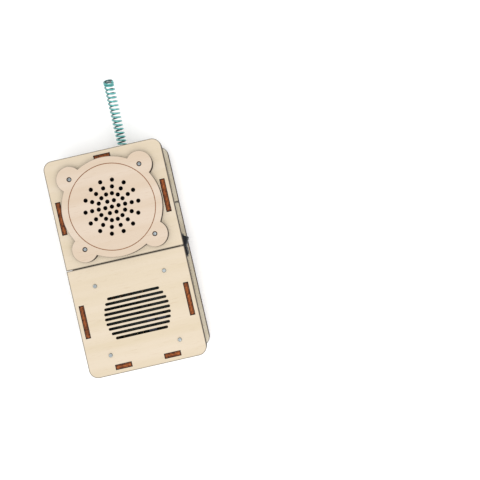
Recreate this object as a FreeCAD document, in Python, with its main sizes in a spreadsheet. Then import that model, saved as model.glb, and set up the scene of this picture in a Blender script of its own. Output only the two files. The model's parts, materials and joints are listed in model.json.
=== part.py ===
import FreeCAD, Part
import math
import os
import types

import Sketcher

# Toy walkie talkie: a laser-cut plywood case that holds a loudspeaker, a radio board, three cells,
# a rocker switch, a push-to-talk button and an antenna wound from enamelled wire.
#
# The case lies on its back.  X runs across it, Y along it towards the antenna, Z out of the front.
# The origin is the centre of the back face, and every length is in millimetres.

V = FreeCAD.Vector
doc = FreeCAD.newDocument("walkie_talkie")

# ---------------------------------------------------------------- driving sizes
SIZES = {
    # plywood case
    "case_width": 72.0,
    "case_length": 133.0,
    "sheet_thick": 3.0,
    "inner_depth": 22.0,
    "corner_radius": 5.5,
    "wall_inset": 2.5,
    "panel_gap": 0.4,
    "fit_gap": 0.12,
    "long_tab": 20.0,
    "short_tab": 10.0,
    "finger": 8.0,
    "lower_tab_y": -32.0,
    "back_tab_y": -20.0,
    "back_top_tab_y": 47.5,
    "bottom_tab_x": 15.0,
    "back_seam_y": 29.0,
    # loudspeaker cover, as wide as the screws' circle
    "speaker_y": 31.5,
    "lobe_radius": 7.8,
    "clamp_gap": 1.5,
    "mark_radius": 25.8,
    "mark_width": 0.5,
    "mark_depth": 0.2,
    "sound_hole": 2.6,
    "ring_pitch": 4.0,
    "speaker_lap": 4.5,
    # lower grille
    "grille_y": -33.5,
    "grille_radius": 20.0,
    "slit_width": 1.7,
    "slit_pitch": 3.0,
    # M1.4 screws, nuts and washers
    "screw_radius": 0.7,
    "screw_head": 1.2,
    "head_height": 0.9,
    "screw_play": 0.1,
    "counterbore": 1.5,
    "nut_height": 1.2,
    "nut_radius": 1.75,
    "washer_radius": 3.0,
    "washer_thick": 0.3,
    "cover_screw": 10.0,
    "board_screw": 12.0,
    "spacer_height": 6.0,
    "spacer_radius": 2.0,
    # loudspeaker
    "speaker_radius": 28.5,
    "speaker_depth": 17.0,
    "gasket_thick": 0.8,
    "magnet_radius": 14.5,
    "coil_radius": 6.15,
    # radio board
    "board_width": 54.0,
    "board_hole_span": 42.4,
    "board_margin": 4.2,
    "board_thick": 1.2,
    "tape_thick": 1.5,
    # cells and their tray
    "cell_radius": 5.25,
    "cell_length": 43.5,
    "nub_length": 1.0,
    "nub_radius": 1.9,
    "cell_play": 0.15,
    "tray_wall": 1.2,
    "tray_rib": 0.6,
    "spring_length": 4.2,
    "plate_thick": 0.3,
    # rocker switch
    "bezel_length": 15.0,
    "bezel_width": 10.6,
    "bezel_thick": 1.5,
    "switch_length": 13.7,
    "switch_width": 8.7,
    "switch_depth": 11.0,
    "rocker_radius": 6.35,
    "rocker_width": 7.3,
    "rocker_play": 0.1,
    "rocker_angle": 22.0,
    "pivot_depth": 1.4,
    "facet_height": 2.5,
    "rocker_skirt": 2.0,
    "trunnion_radius": 0.74,
    "trunnion_play": 0.06,
    # push-to-talk button
    "talk_y": 40.5,
    "talk_size": 6.0,
    "talk_depth": 3.5,
    "plunger_radius": 1.75,
    "plunger_play": 0.15,
    "plunger_proud": 0.8,
    "plunger_travel": 0.25,
    # antenna
    "antenna_x": 7.8,
    "antenna_play": 0.12,
    "bend_gap": 0.32,
    "wire_radius": 0.5,
    "coil_outside": 3.15,
    "antenna_pitch": 2.4,
    "antenna_length": 43.5,
    "antenna_leg": 2.6,
    "antenna_root": 1.4,
    "closed_length": 2.2,
    "closed_pitch": 1.1,
    "base_lean": 11.0,
    "tip_lean": 42.0,
    "side_lean": 12.6,
    # hook-up wire
    "lead_radius": 0.5,
}

sheet = doc.addObject("Spreadsheet::Sheet", "Sizes")
for row, (alias, number) in enumerate(SIZES.items(), start=1):
    sheet.set(f"A{row}", alias)
    sheet.set(f"B{row}", str(number))
    sheet.setAlias(f"B{row}", alias)
doc.recompute()


# ---------------------------------------------------------------- lengths that stay tied to the sheet
class Dim:
    """A length from the sheet: its value now, and the formula that a property is bound to."""

    def __init__(self, value, text):
        self.value = value
        self.text = text

    def __add__(self, other):
        other = dim(other)
        return Dim(self.value + other.value, f"({self.text} + {other.text})")

    def __sub__(self, other):
        other = dim(other)
        return Dim(self.value - other.value, f"({self.text} - {other.text})")

    def __mul__(self, other):
        other = dim(other)
        return Dim(self.value * other.value, f"({self.text} * {other.text})")

    def __truediv__(self, other):
        other = dim(other)
        return Dim(self.value / other.value, f"({self.text} / {other.text})")

    def __rsub__(self, other):
        return dim(other) - self

    def __neg__(self):
        return self * -1

    __radd__ = __add__
    __rmul__ = __mul__


def dim(length):
    """A plain number as a Dim, and a Dim as it is."""
    if isinstance(length, Dim):
        return length
    return Dim(float(length), f"({float(length)})")


def root(length):
    """The square root of a length times a length."""
    return Dim(math.sqrt(length.value), f"sqrt({length.text})")


def bind(thing, prop, length):
    """Tie one property to the sheet."""
    thing.setExpression(prop, dim(length).text)


def put(thing, x=0, y=0, z=0):
    """Place an object, with each coordinate tied to the sheet."""
    bind(thing, "Placement.Base.x", x)
    bind(thing, "Placement.Base.y", y)
    bind(thing, "Placement.Base.z", z)


S = types.SimpleNamespace(**{alias: Dim(float(sheet.get(alias)), f"Sizes.{alias}") for alias in SIZES})

HALF_WIDTH = S.case_width / 2
HALF_LENGTH = S.case_length / 2
BACK_IN = S.sheet_thick
FRONT_IN = BACK_IN + S.inner_depth
FRONT = FRONT_IN + S.sheet_thick
COVER_FACE = FRONT + S.sheet_thick
MID = BACK_IN + S.inner_depth / 2
WALL_X = HALF_WIDTH - S.wall_inset
WALL_Y = HALF_LENGTH - S.wall_inset
INNER_X = WALL_X - S.sheet_thick
INNER_Y = WALL_Y - S.sheet_thick
SLOT_X = WALL_X - S.sheet_thick / 2
SLOT_Y = WALL_Y - S.sheet_thick / 2
SCREW_RING = S.speaker_radius + S.clamp_gap
SCREW_XY = SCREW_RING * math.sqrt(0.5)
BOARD_XY = S.board_hole_span / 2
SCREW_HOLE = S.screw_radius + S.screw_play
CORNERS = [(-1, -1), (1, -1), (1, 1), (-1, 1)]

sub_parts = []


def sub_part(label, thing):
    """Give a finished piece its name and put it on the list of pieces to write."""
    thing.Label = label
    sub_parts.append(thing)
    return thing


# ---------------------------------------------------------------- sketches
def tie(sketch, kind, geo, pos, length):
    """Fix how far one point of a sketch is from the origin, across or up."""
    length = dim(length)
    index = sketch.addConstraint(Sketcher.Constraint(kind, -1, 1, geo, pos, length.value))
    sketch.setExpression(f"Constraints[{index}]", length.text)


def pin(sketch, geo, pos, x, y):
    """Fix one point of a sketch at x, y."""
    tie(sketch, "DistanceX", geo, pos, x)
    tie(sketch, "DistanceY", geo, pos, y)


def size_round(sketch, geo, radius):
    """Fix the radius of a circle or arc."""
    index = sketch.addConstraint(Sketcher.Constraint("Radius", geo, radius.value))
    sketch.setExpression(f"Constraints[{index}]", radius.text)


def circle(sketch, x, y, radius):
    """A circle about x, y."""
    x, y, radius = dim(x), dim(y), dim(radius)
    shape = Part.Circle(V(x.value, y.value, 0), V(0, 0, 1), radius.value)
    geo = sketch.addGeometry(shape, False)
    pin(sketch, geo, 3, x, y)
    size_round(sketch, geo, radius)


def polygon(sketch, points):
    """A closed outline of straight lines, with every corner fixed."""
    points = [(dim(x), dim(y)) for x, y in points]
    ends = points[1:] + points[:1]
    first = None
    for (x0, y0), (x1, y1) in zip(points, ends):
        line = Part.LineSegment(V(x0.value, y0.value, 0), V(x1.value, y1.value, 0))
        geo = sketch.addGeometry(line, False)
        first = geo if first is None else first
        pin(sketch, geo, 1, x0, y0)
        if geo > first:
            sketch.addConstraint(Sketcher.Constraint("Coincident", geo - 1, 2, geo, 1))
    sketch.addConstraint(Sketcher.Constraint("Coincident", geo, 2, first, 1))


def rectangle(sketch, x, y, width, height):
    """A rectangle about x, y."""
    polygon(sketch, [(x + sx * width / 2, y + sy * height / 2) for sx, sy in CORNERS])


def arc(sketch, x, y, radius, start, end):
    """An arc about x, y from angle start to end, in degrees; its two ends are joined to lines."""
    middle = Part.Circle(V(x.value, y.value, 0), V(0, 0, 1), radius.value)
    shape = Part.ArcOfCircle(middle, math.radians(start), math.radians(end))
    geo = sketch.addGeometry(shape, False)
    tie(sketch, "DistanceX", geo, 3, x)
    return geo


def line(sketch, start, end):
    """A straight line with both ends fixed."""
    (x0, y0), (x1, y1) = start, end
    geo = sketch.addGeometry(Part.LineSegment(V(x0.value, y0.value, 0), V(x1.value, y1.value, 0)), False)
    pin(sketch, geo, 1, x0, y0)
    pin(sketch, geo, 2, x1, y1)
    return geo


def join(sketch, geo_a, pos_a, geo_b, pos_b):
    """Make two ends meet."""
    sketch.addConstraint(Sketcher.Constraint("Coincident", geo_a, pos_a, geo_b, pos_b))


def slit(sketch, y, half_length, width):
    """A slot with round ends, lying along X."""
    radius = width / 2
    centre = half_length - radius
    top = line(sketch, (-centre, y + radius), (centre, y + radius))
    bottom = line(sketch, (-centre, y - radius), (centre, y - radius))
    right = arc(sketch, centre, y, radius, -90, 90)
    left = arc(sketch, -centre, y, radius, 90, 270)
    join(sketch, right, 1, bottom, 2)
    join(sketch, right, 2, top, 2)
    join(sketch, left, 1, top, 1)
    join(sketch, left, 2, bottom, 1)


def panel_outline(sketch, square_y, round_y):
    """A panel of the case: square corners at one end, rounded corners at the other."""
    toward = 1 if round_y.value > square_y.value else -1
    radius = S.corner_radius
    bend_x = HALF_WIDTH - radius
    bend_y = round_y - toward * radius
    line(sketch, (-HALF_WIDTH, square_y), (HALF_WIDTH, square_y))
    right = line(sketch, (HALF_WIDTH, square_y), (HALF_WIDTH, bend_y))
    end = line(sketch, (bend_x, round_y), (-bend_x, round_y))
    left = line(sketch, (-HALF_WIDTH, bend_y), (-HALF_WIDTH, square_y))
    if toward > 0:
        right_bend = arc(sketch, bend_x, bend_y, radius, 0, 90)
        left_bend = arc(sketch, -bend_x, bend_y, radius, 90, 180)
        first, last = 1, 2
    else:
        right_bend = arc(sketch, bend_x, bend_y, radius, 270, 360)
        left_bend = arc(sketch, -bend_x, bend_y, radius, 180, 270)
        first, last = 2, 1
    join(sketch, right, 2, right_bend, first)
    join(sketch, right_bend, last, end, 1)
    join(sketch, end, 2, left_bend, first)
    join(sketch, left_bend, last, left, 1)


# ---------------------------------------------------------------- bodies and their features
def new_body(label, x=0, y=0, z=0):
    """A body of its own, placed by the sheet."""
    body = doc.addObject("PartDesign::Body", label)
    put(body, x, y, z)
    return body


def origin_feature(body, role):
    """A plane or axis of the body's own origin."""
    return next(feature for feature in body.Origin.OriginFeatures if feature.Role == role)


def new_sketch(body, role="XY_Plane", level=0):
    """A sketch on one of the body's origin planes, lifted along its normal."""
    sketch = body.newObject("Sketcher::SketchObject", f"{body.Name}_sketch")
    sketch.AttachmentSupport = [(origin_feature(body, role), "")]
    sketch.MapMode = "FlatFace"
    bind(sketch, "AttachmentOffset.Base.z", level)
    return sketch


def pad(body, sketch, length):
    """Extrude a sketch along its normal."""
    feature = body.newObject("PartDesign::Pad", f"{body.Name}_pad")
    feature.Profile = sketch
    bind(feature, "Length", length)
    body.Tip = feature
    return feature


def pocket(body, sketch, depth):
    """Cut a sketch into the body, against its normal."""
    feature = body.newObject("PartDesign::Pocket", f"{body.Name}_pocket")
    feature.Profile = sketch
    bind(feature, "Length", depth)
    body.Tip = feature
    return feature


def polar(body, feature, count):
    """Repeat a feature evenly about the body's Z axis."""
    pattern = body.newObject("PartDesign::PolarPattern", f"{body.Name}_ring")
    pattern.Originals = [feature]
    pattern.Axis = (origin_feature(body, "Z_Axis"), [""])
    pattern.Angle = 360
    pattern.Occurrences = count
    body.Tip = pattern
    return pattern


def turned(label, profile, x=0, y=0, z=0):
    """A body of revolution about Z from a closed profile of radius and height."""
    body = new_body(label, x, y, z)
    sketch = new_sketch(body, "XZ_Plane")
    polygon(sketch, profile)
    feature = body.newObject("PartDesign::Revolution", f"{label}_turn")
    feature.Profile = sketch
    feature.ReferenceAxis = (sketch, ["V_Axis"])
    feature.Angle = 360
    body.Tip = feature
    return body


# ---------------------------------------------------------------- plain solids
TURNS = {
    "X": FreeCAD.Rotation(V(0, 1, 0), 90),
    "Y": FreeCAD.Rotation(V(1, 0, 0), -90),
    "Z": FreeCAD.Rotation(),
}


def box(name, x, y, z):
    """A block between two values on each axis."""
    block = doc.addObject("Part::Box", name)
    bind(block, "Length", dim(x[1]) - x[0])
    bind(block, "Width", dim(y[1]) - y[0])
    bind(block, "Height", dim(z[1]) - z[0])
    put(block, x[0], y[0], z[0])
    return block


def centred(name, x, y, z, across):
    """A block about x, y that stands between two heights."""
    width, length = across
    span_x = (dim(x) - dim(width) / 2, dim(x) + dim(width) / 2)
    span_y = (dim(y) - dim(length) / 2, dim(y) + dim(length) / 2)
    return box(name, span_x, span_y, z)


def rod(name, radius, axis, span, x=0, y=0, z=0):
    """A cylinder along X, Y or Z between two values on that axis."""
    cylinder = doc.addObject("Part::Cylinder", name)
    cylinder.Placement = FreeCAD.Placement(V(), TURNS[axis])
    bind(cylinder, "Radius", radius)
    bind(cylinder, "Height", dim(span[1]) - span[0])
    start = {"X": (span[0], y, z), "Y": (x, span[0], z), "Z": (x, y, span[0])}[axis]
    put(cylinder, *start)
    return cylinder


def cut(name, base, *tools):
    """Take tools away from a solid, one after another."""
    for tool in tools:
        result = doc.addObject("Part::Cut", name if tool is tools[-1] else f"{name}_blank")
        result.Base = base
        result.Tool = tool
        base = result
    return base


def fuse(name, *solids):
    """Make one solid of several."""
    result = doc.addObject("Part::MultiFuse", name)
    result.Shapes = list(solids)
    result.Refine = True
    return result


def group(label, solids):
    """Identical or paired pieces that share one node."""
    result = doc.addObject("Part::Compound", label)
    result.Links = list(solids)
    return sub_part(label, result)


def tube(name, outer, inner, axis, span, x=0, y=0, z=0):
    """A round sleeve, washer or ring."""
    body = rod(f"{name}_outside", outer, axis, span, x, y, z)
    bore = rod(f"{name}_bore", inner, axis, span, x, y, z)
    return cut(name, body, bore)


# ---------------------------------------------------------------- plywood case
def tab_hole(sketch, x, y, length, upright):
    """The slot that takes a wall's tab."""
    long_side = length + 2 * S.fit_gap
    short_side = S.sheet_thick + 2 * S.fit_gap
    width, height = (short_side, long_side) if upright else (long_side, short_side)
    rectangle(sketch, dim(x), dim(y), width, height)


def screw_holes(sketch, y, reach):
    """Four screw holes, reach across and along from a point of the centre line."""
    for sx, sy in CORNERS:
        circle(sketch, sx * reach, y + sy * reach, SCREW_HOLE)


def front_upper_panel():
    body = new_body("front_upper_panel", 0, 0, FRONT_IN)
    sketch = new_sketch(body)
    panel_outline(sketch, S.panel_gap / 2, HALF_LENGTH)
    for side in (-1, 1):
        tab_hole(sketch, side * SLOT_X, S.speaker_y, S.long_tab, True)
    tab_hole(sketch, 0, SLOT_Y, S.short_tab, False)
    circle(sketch, 0, S.speaker_y, S.speaker_radius - S.speaker_lap)
    screw_holes(sketch, S.speaker_y, SCREW_XY)
    pad(body, sketch, S.sheet_thick)
    sub_part("front_upper_panel", body)


def front_lower_panel():
    body = new_body("front_lower_panel", 0, 0, FRONT_IN)
    sketch = new_sketch(body)
    panel_outline(sketch, -S.panel_gap / 2, -HALF_LENGTH)
    for side in (-1, 1):
        tab_hole(sketch, side * SLOT_X, S.lower_tab_y, S.long_tab, True)
        tab_hole(sketch, side * S.bottom_tab_x, -SLOT_Y, S.short_tab, False)
    screw_holes(sketch, S.grille_y, BOARD_XY)
    for step in range(-4, 5):
        offset = S.slit_pitch * step
        half_chord = root(S.grille_radius * S.grille_radius - offset * offset)
        slit(sketch, S.grille_y + offset, half_chord, S.slit_width)
    pad(body, sketch, S.sheet_thick)
    sub_part("front_lower_panel", body)


def back_panels():
    upper = new_body("back_upper_panel")
    sketch = new_sketch(upper)
    panel_outline(sketch, S.back_seam_y + S.panel_gap / 2, HALF_LENGTH)
    for side in (-1, 1):
        tab_hole(sketch, side * SLOT_X, S.back_top_tab_y, S.long_tab, True)
    tab_hole(sketch, 0, SLOT_Y, S.short_tab, False)
    pad(upper, sketch, S.sheet_thick)
    sub_part("back_upper_panel", upper)

    lower = new_body("battery_cover")
    sketch = new_sketch(lower)
    panel_outline(sketch, S.back_seam_y - S.panel_gap / 2, -HALF_LENGTH)
    for side in (-1, 1):
        tab_hole(sketch, side * SLOT_X, S.back_tab_y, S.long_tab, True)
        tab_hole(sketch, side * S.bottom_tab_x, -SLOT_Y, S.short_tab, False)
    pad(lower, sketch, S.sheet_thick)
    sub_part("battery_cover", lower)


def tabbed_edge(start, end, level, tip, centres, length):
    """Corner points along one edge of a wall, with tabs that stand out from level to tip."""
    way = 1 if dim(end).value > dim(start).value else -1
    points = [(start, level)]
    for centre in centres:
        near = centre - way * length / 2
        far = centre + way * length / 2
        points += [(near, level), (near, tip), (far, tip), (far, level)]
    return points + [(end, level)]


def wall_end(x, depth, low, high):
    """Corner points of a notch or finger in a wall's end: depth is how far it steps in or out."""
    return [(x, low), (x + depth, low), (x + depth, high), (x, high)]


def side_wall(label, side):
    """A side wall: tabs to the front and back panels, and a notch at each end for the end walls."""
    body = new_body(label, side * WALL_X - (S.sheet_thick if side > 0 else 0), 0, 0)
    sketch = new_sketch(body, "YZ_Plane")
    low = MID - S.finger / 2 - S.fit_gap
    high = MID + S.finger / 2 + S.fit_gap
    back = tabbed_edge(-WALL_Y, WALL_Y, BACK_IN, dim(0), [S.back_tab_y, S.back_top_tab_y], S.long_tab)
    top = wall_end(WALL_Y, -(S.sheet_thick + S.fit_gap), low, high)
    front = tabbed_edge(WALL_Y, -WALL_Y, FRONT_IN, FRONT, [S.speaker_y, S.lower_tab_y], S.long_tab)
    bottom = wall_end(-WALL_Y, S.sheet_thick + S.fit_gap, low, high)
    polygon(sketch, back + top + front + bottom[::-1])
    if side > 0:
        rectangle(sketch, dim(0), MID, S.switch_length + 2 * S.fit_gap, S.switch_width + 2 * S.fit_gap)
    else:
        circle(sketch, S.talk_y, MID, S.plunger_radius + S.plunger_play)
    pad(body, sketch, S.sheet_thick)
    sub_part(label, body)


def end_wall(label, side, tabs):
    """The top or bottom wall: tabs to the panels, and a finger at each end for the side walls."""
    outer = WALL_Y if side > 0 else -INNER_Y
    body = new_body(label)
    sketch = new_sketch(body, "XZ_Plane", -outer)
    low = MID - S.finger / 2
    high = MID + S.finger / 2
    reach = INNER_X - S.fit_gap
    back = tabbed_edge(-reach, reach, BACK_IN, dim(0), tabs, S.short_tab)
    right = wall_end(reach, S.sheet_thick + S.fit_gap, low, high)
    front = tabbed_edge(reach, -reach, FRONT_IN, FRONT, tabs[::-1], S.short_tab)
    left = wall_end(-reach, -(S.sheet_thick + S.fit_gap), low, high)
    polygon(sketch, back + right + front + left[::-1])
    if side > 0:
        circle(sketch, S.antenna_x, MID, S.wire_radius + S.antenna_play)
    pad(body, sketch, S.sheet_thick)
    sub_part(label, body)


def speaker_cover():
    """The lobed disc: sound holes on rings, an engraved circle and four sunk screw heads."""
    body = new_body("speaker_cover", 0, S.speaker_y, FRONT)
    sketch = new_sketch(body)
    circle(sketch, 0, 0, SCREW_RING)
    pad(body, sketch, S.sheet_thick)
    lobes = new_sketch(body)
    for sx, sy in CORNERS:
        circle(lobes, sx * SCREW_XY, sy * SCREW_XY, S.lobe_radius)
    pad(body, lobes, S.sheet_thick)

    holes = new_sketch(body, level=S.sheet_thick)
    screw_holes(holes, dim(0), SCREW_XY)
    circle(holes, 0, 0, S.sound_hole / 2)
    pocket(body, holes, S.sheet_thick)
    sinks = new_sketch(body, level=S.sheet_thick)
    for sx, sy in CORNERS:
        circle(sinks, sx * SCREW_XY, sy * SCREW_XY, S.counterbore)
    pocket(body, sinks, S.head_height)
    mark = new_sketch(body, level=S.sheet_thick)
    circle(mark, 0, 0, S.mark_radius + S.mark_width / 2)
    circle(mark, 0, 0, S.mark_radius - S.mark_width / 2)
    pocket(body, mark, S.mark_depth)
    for ring, count in ((1, 6), (2, 14), (3, 14), (4, 14)):
        hole = new_sketch(body, level=S.sheet_thick)
        circle(hole, S.ring_pitch * ring, 0, S.sound_hole / 2)
        polar(body, pocket(body, hole, S.sheet_thick), count)
    sub_part("speaker_cover", body)


front_upper_panel()
front_lower_panel()
back_panels()
side_wall("left_wall", -1)
side_wall("right_wall", 1)
end_wall("top_wall", 1, [dim(0)])
end_wall("bottom_wall", -1, [-S.bottom_tab_x, S.bottom_tab_x])
speaker_cover()


# ---------------------------------------------------------------- screws, nuts, washers and spacers
# Shares of a screw head: its flat crown, its upright edge, and the cross recess.
HEAD_FLAT = 0.72
HEAD_EDGE = 0.55
CROSS_REACH = 0.55
CROSS_HALF = 0.13
CROSS_DEPTH = 0.5


def screw(name, length, x, y, z):
    """A pan-head screw with a cross recess; z is the underside of its head."""
    top = S.head_height
    crown = S.screw_head * HEAD_FLAT
    profile = [
        (0, -length),
        (S.screw_radius, -length),
        (S.screw_radius, 0),
        (S.screw_head, 0),
        (S.screw_head, top * HEAD_EDGE),
        (crown, top),
        (0, top),
    ]
    body = turned(name, profile, x, y, z)
    recess = new_sketch(body, level=top)
    arm = S.screw_head * CROSS_REACH
    half = S.screw_head * CROSS_HALF
    steps = []
    for ux, uy in ((1, 0), (0, 1), (-1, 0), (0, -1)):
        steps.append((arm * ux + half * uy, arm * uy - half * ux))
        steps.append((arm * ux - half * uy, arm * uy + half * ux))
        steps.append((half * (ux - uy), half * (ux + uy)))
    polygon(recess, steps)
    pocket(body, recess, top * CROSS_DEPTH)
    return body


def nut(name, x, y, z):
    """A hexagon nut whose upper face is at z."""
    hexagon = doc.addObject("Part::Prism", f"{name}_hexagon")
    hexagon.Polygon = 6
    bind(hexagon, "Circumradius", S.nut_radius)
    bind(hexagon, "Height", S.nut_height)
    put(hexagon, x, y, z - S.nut_height)
    bore = rod(f"{name}_bore", S.screw_radius + 0.02, "Z", (z - S.nut_height, z), x, y)
    return cut(name, hexagon, bore)


def at_corners(make, y, reach):
    """Run a function at each of the four screws about y, and collect what it makes."""
    return [make(index, sx * reach, y + sy * reach) for index, (sx, sy) in enumerate(CORNERS)]


GASKET = FRONT_IN - S.gasket_thick
RIM_BACK = GASKET - 1.0
CLAMP = RIM_BACK - S.washer_thick
BOARD_FRONT = FRONT_IN - S.spacer_height
BOARD_BACK = BOARD_FRONT - S.board_thick
SEAT = COVER_FACE - S.head_height

group("cover_screws", at_corners(
    lambda i, x, y: screw(f"cover_screw_{i}", S.cover_screw, x, y, SEAT), S.speaker_y, SCREW_XY))
group("clamp_washers", at_corners(
    lambda i, x, y: tube(f"washer_{i}", S.washer_radius, SCREW_HOLE, "Z", (CLAMP, RIM_BACK), x, y),
    S.speaker_y, SCREW_XY))
group("cover_nuts", at_corners(lambda i, x, y: nut(f"cover_nut_{i}", x, y, CLAMP), S.speaker_y, SCREW_XY))
group("board_screws", at_corners(
    lambda i, x, y: screw(f"board_screw_{i}", S.board_screw, x, y, FRONT), S.grille_y, BOARD_XY))
group("board_spacers", at_corners(
    lambda i, x, y: tube(f"spacer_{i}", S.spacer_radius, SCREW_HOLE, "Z", (BOARD_FRONT, FRONT_IN), x, y),
    S.grille_y, BOARD_XY))
group("board_nuts", at_corners(
    lambda i, x, y: nut(f"board_nut_{i}", x, y, BOARD_BACK), S.grille_y, BOARD_XY))

# ---------------------------------------------------------------- loudspeaker
# The basket's deck carries the magnet; the terminal strip sits outside its slope, with two tags.
BASKET_DECK = dim(-8.8)
BASKET_BACK = BASKET_DECK - 0.8
TAG_THICK = 0.4
TAG_REACH = 2.5
TERMINAL_Y = S.speaker_y - (S.magnet_radius + S.speaker_radius - 3.5) / 2 - 2.25
TERMINAL_Z = FRONT_IN + (BASKET_BACK - S.gasket_thick - 3.2) / 2 - 1.1


def speaker_piece(label, profile):
    """A round piece of the loudspeaker; heights count back from the panel's inner face."""
    return sub_part(label, turned(label, profile, 0, S.speaker_y, FRONT_IN))


def loudspeaker():
    outer = S.speaker_radius
    rim = -S.gasket_thick
    rim_back = rim - 1.0
    deck = BASKET_DECK
    plate_top = BASKET_BACK
    plate_back = plate_top - 1.6
    end = -S.speaker_depth
    yoke_top = end + 1.6
    magnet = S.magnet_radius
    coil = S.coil_radius
    play = 0.25

    speaker_piece("speaker_gasket", [
        (outer - 2.5, rim), (outer - 0.2, rim), (outer - 0.2, 0), (outer - 2.5, 0)])
    basket = turned("speaker_basket", [
        (outer, rim), (outer, rim_back), (outer - 2.6, rim_back), (outer - 4.0, rim - 3.2),
        (magnet + 0.5, plate_top), (coil + 1.4, plate_top), (coil + 1.4, deck), (magnet + 0.2, deck),
        (outer - 4.7, rim - 2.7), (outer - 3.2, rim)], 0, S.speaker_y, FRONT_IN)
    window = new_sketch(basket, level=rim - 3.5)
    rectangle(window, (outer + magnet) / 2 - 1.0, dim(0), dim(5.6), dim(11.0))
    polar(basket, pocket(basket, window, 4.6), 6)
    sub_part("speaker_basket", basket)
    speaker_piece("speaker_surround", [
        (outer - 2.6, rim), (outer - 2.6, rim + 0.3), (outer - 3.6, rim + 0.3), (outer - 4.9, rim + 0.7),
        (outer - 6.2, rim + 0.3), (outer - 7.2, rim + 0.3), (outer - 7.2, rim), (outer - 6.1, rim),
        (outer - 4.9, rim + 0.4), (outer - 3.7, rim)])
    lip = outer - 7.25
    neck = -6.5
    slope = (rim + 0.3 - neck) / (lip - 0.6 - coil)
    cap_seat = neck + slope * 1.6 + 0.13
    speaker_piece("speaker_cone", [
        (lip, rim), (lip, rim + 0.3), (lip - 0.6, rim + 0.3), (coil + 0.03, neck), (coil + 0.03, neck - 0.4),
        (coil + 0.4, neck - 0.4)])
    speaker_piece("speaker_dust_cap", [
        (coil + 1.6, cap_seat), (coil - 0.8, cap_seat + 1.3), (coil - 3.4, cap_seat + 1.9),
        (0, cap_seat + 2.1), (0, cap_seat + 1.8), (coil - 3.5, cap_seat + 1.6),
        (coil - 1.0, cap_seat + 1.0), (coil + 1.3, cap_seat - 0.12)])
    speaker_piece("voice_coil", [
        (coil - 0.3, neck + 0.5), (coil, neck + 0.5), (coil, deck - 0.4), (coil + play, deck - 0.4),
        (coil + play, plate_back - 1.0), (coil - 0.3, plate_back - 1.0)])
    speaker_piece("speaker_top_plate", [
        (coil + 2 * play, plate_back), (magnet - 1.0, plate_back), (magnet - 1.0, plate_top),
        (coil + 2 * play, plate_top)])
    speaker_piece("speaker_magnet", [
        (coil + 3.0, yoke_top), (magnet, yoke_top), (magnet, plate_back), (coil + 3.0, plate_back)])
    speaker_piece("speaker_yoke", [
        (0, end), (magnet - 1.0, end), (magnet - 1.0, yoke_top), (coil - 0.3 - play, yoke_top),
        (coil - 0.3 - play, plate_top), (0, plate_top)])
    strip = centred("terminal_strip", 0, TERMINAL_Y, (TERMINAL_Z, TERMINAL_Z + 1.0), (12.0, 4.0))
    tag_span = (TERMINAL_Z - TAG_THICK, TERMINAL_Z)
    tags = [centred(f"tag_{side}", side * 3.5, TERMINAL_Y - TAG_REACH, tag_span, (2.2, 5.0))
            for side in (-1, 1)]
    group("speaker_terminals", [strip] + tags)


loudspeaker()

# ---------------------------------------------------------------- radio board
BOARD_TOP = S.grille_y + BOARD_XY + S.board_margin
BOARD_BOTTOM = S.grille_y - BOARD_XY - S.board_margin


def circuit_board():
    body = new_body("circuit_board", 0, 0, BOARD_BACK)
    sketch = new_sketch(body)
    rectangle(sketch, dim(0), S.grille_y, S.board_width, BOARD_TOP - BOARD_BOTTOM)
    screw_holes(sketch, S.grille_y, BOARD_XY)
    pad(body, sketch, S.board_thick)
    sub_part("circuit_board", body)


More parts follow.
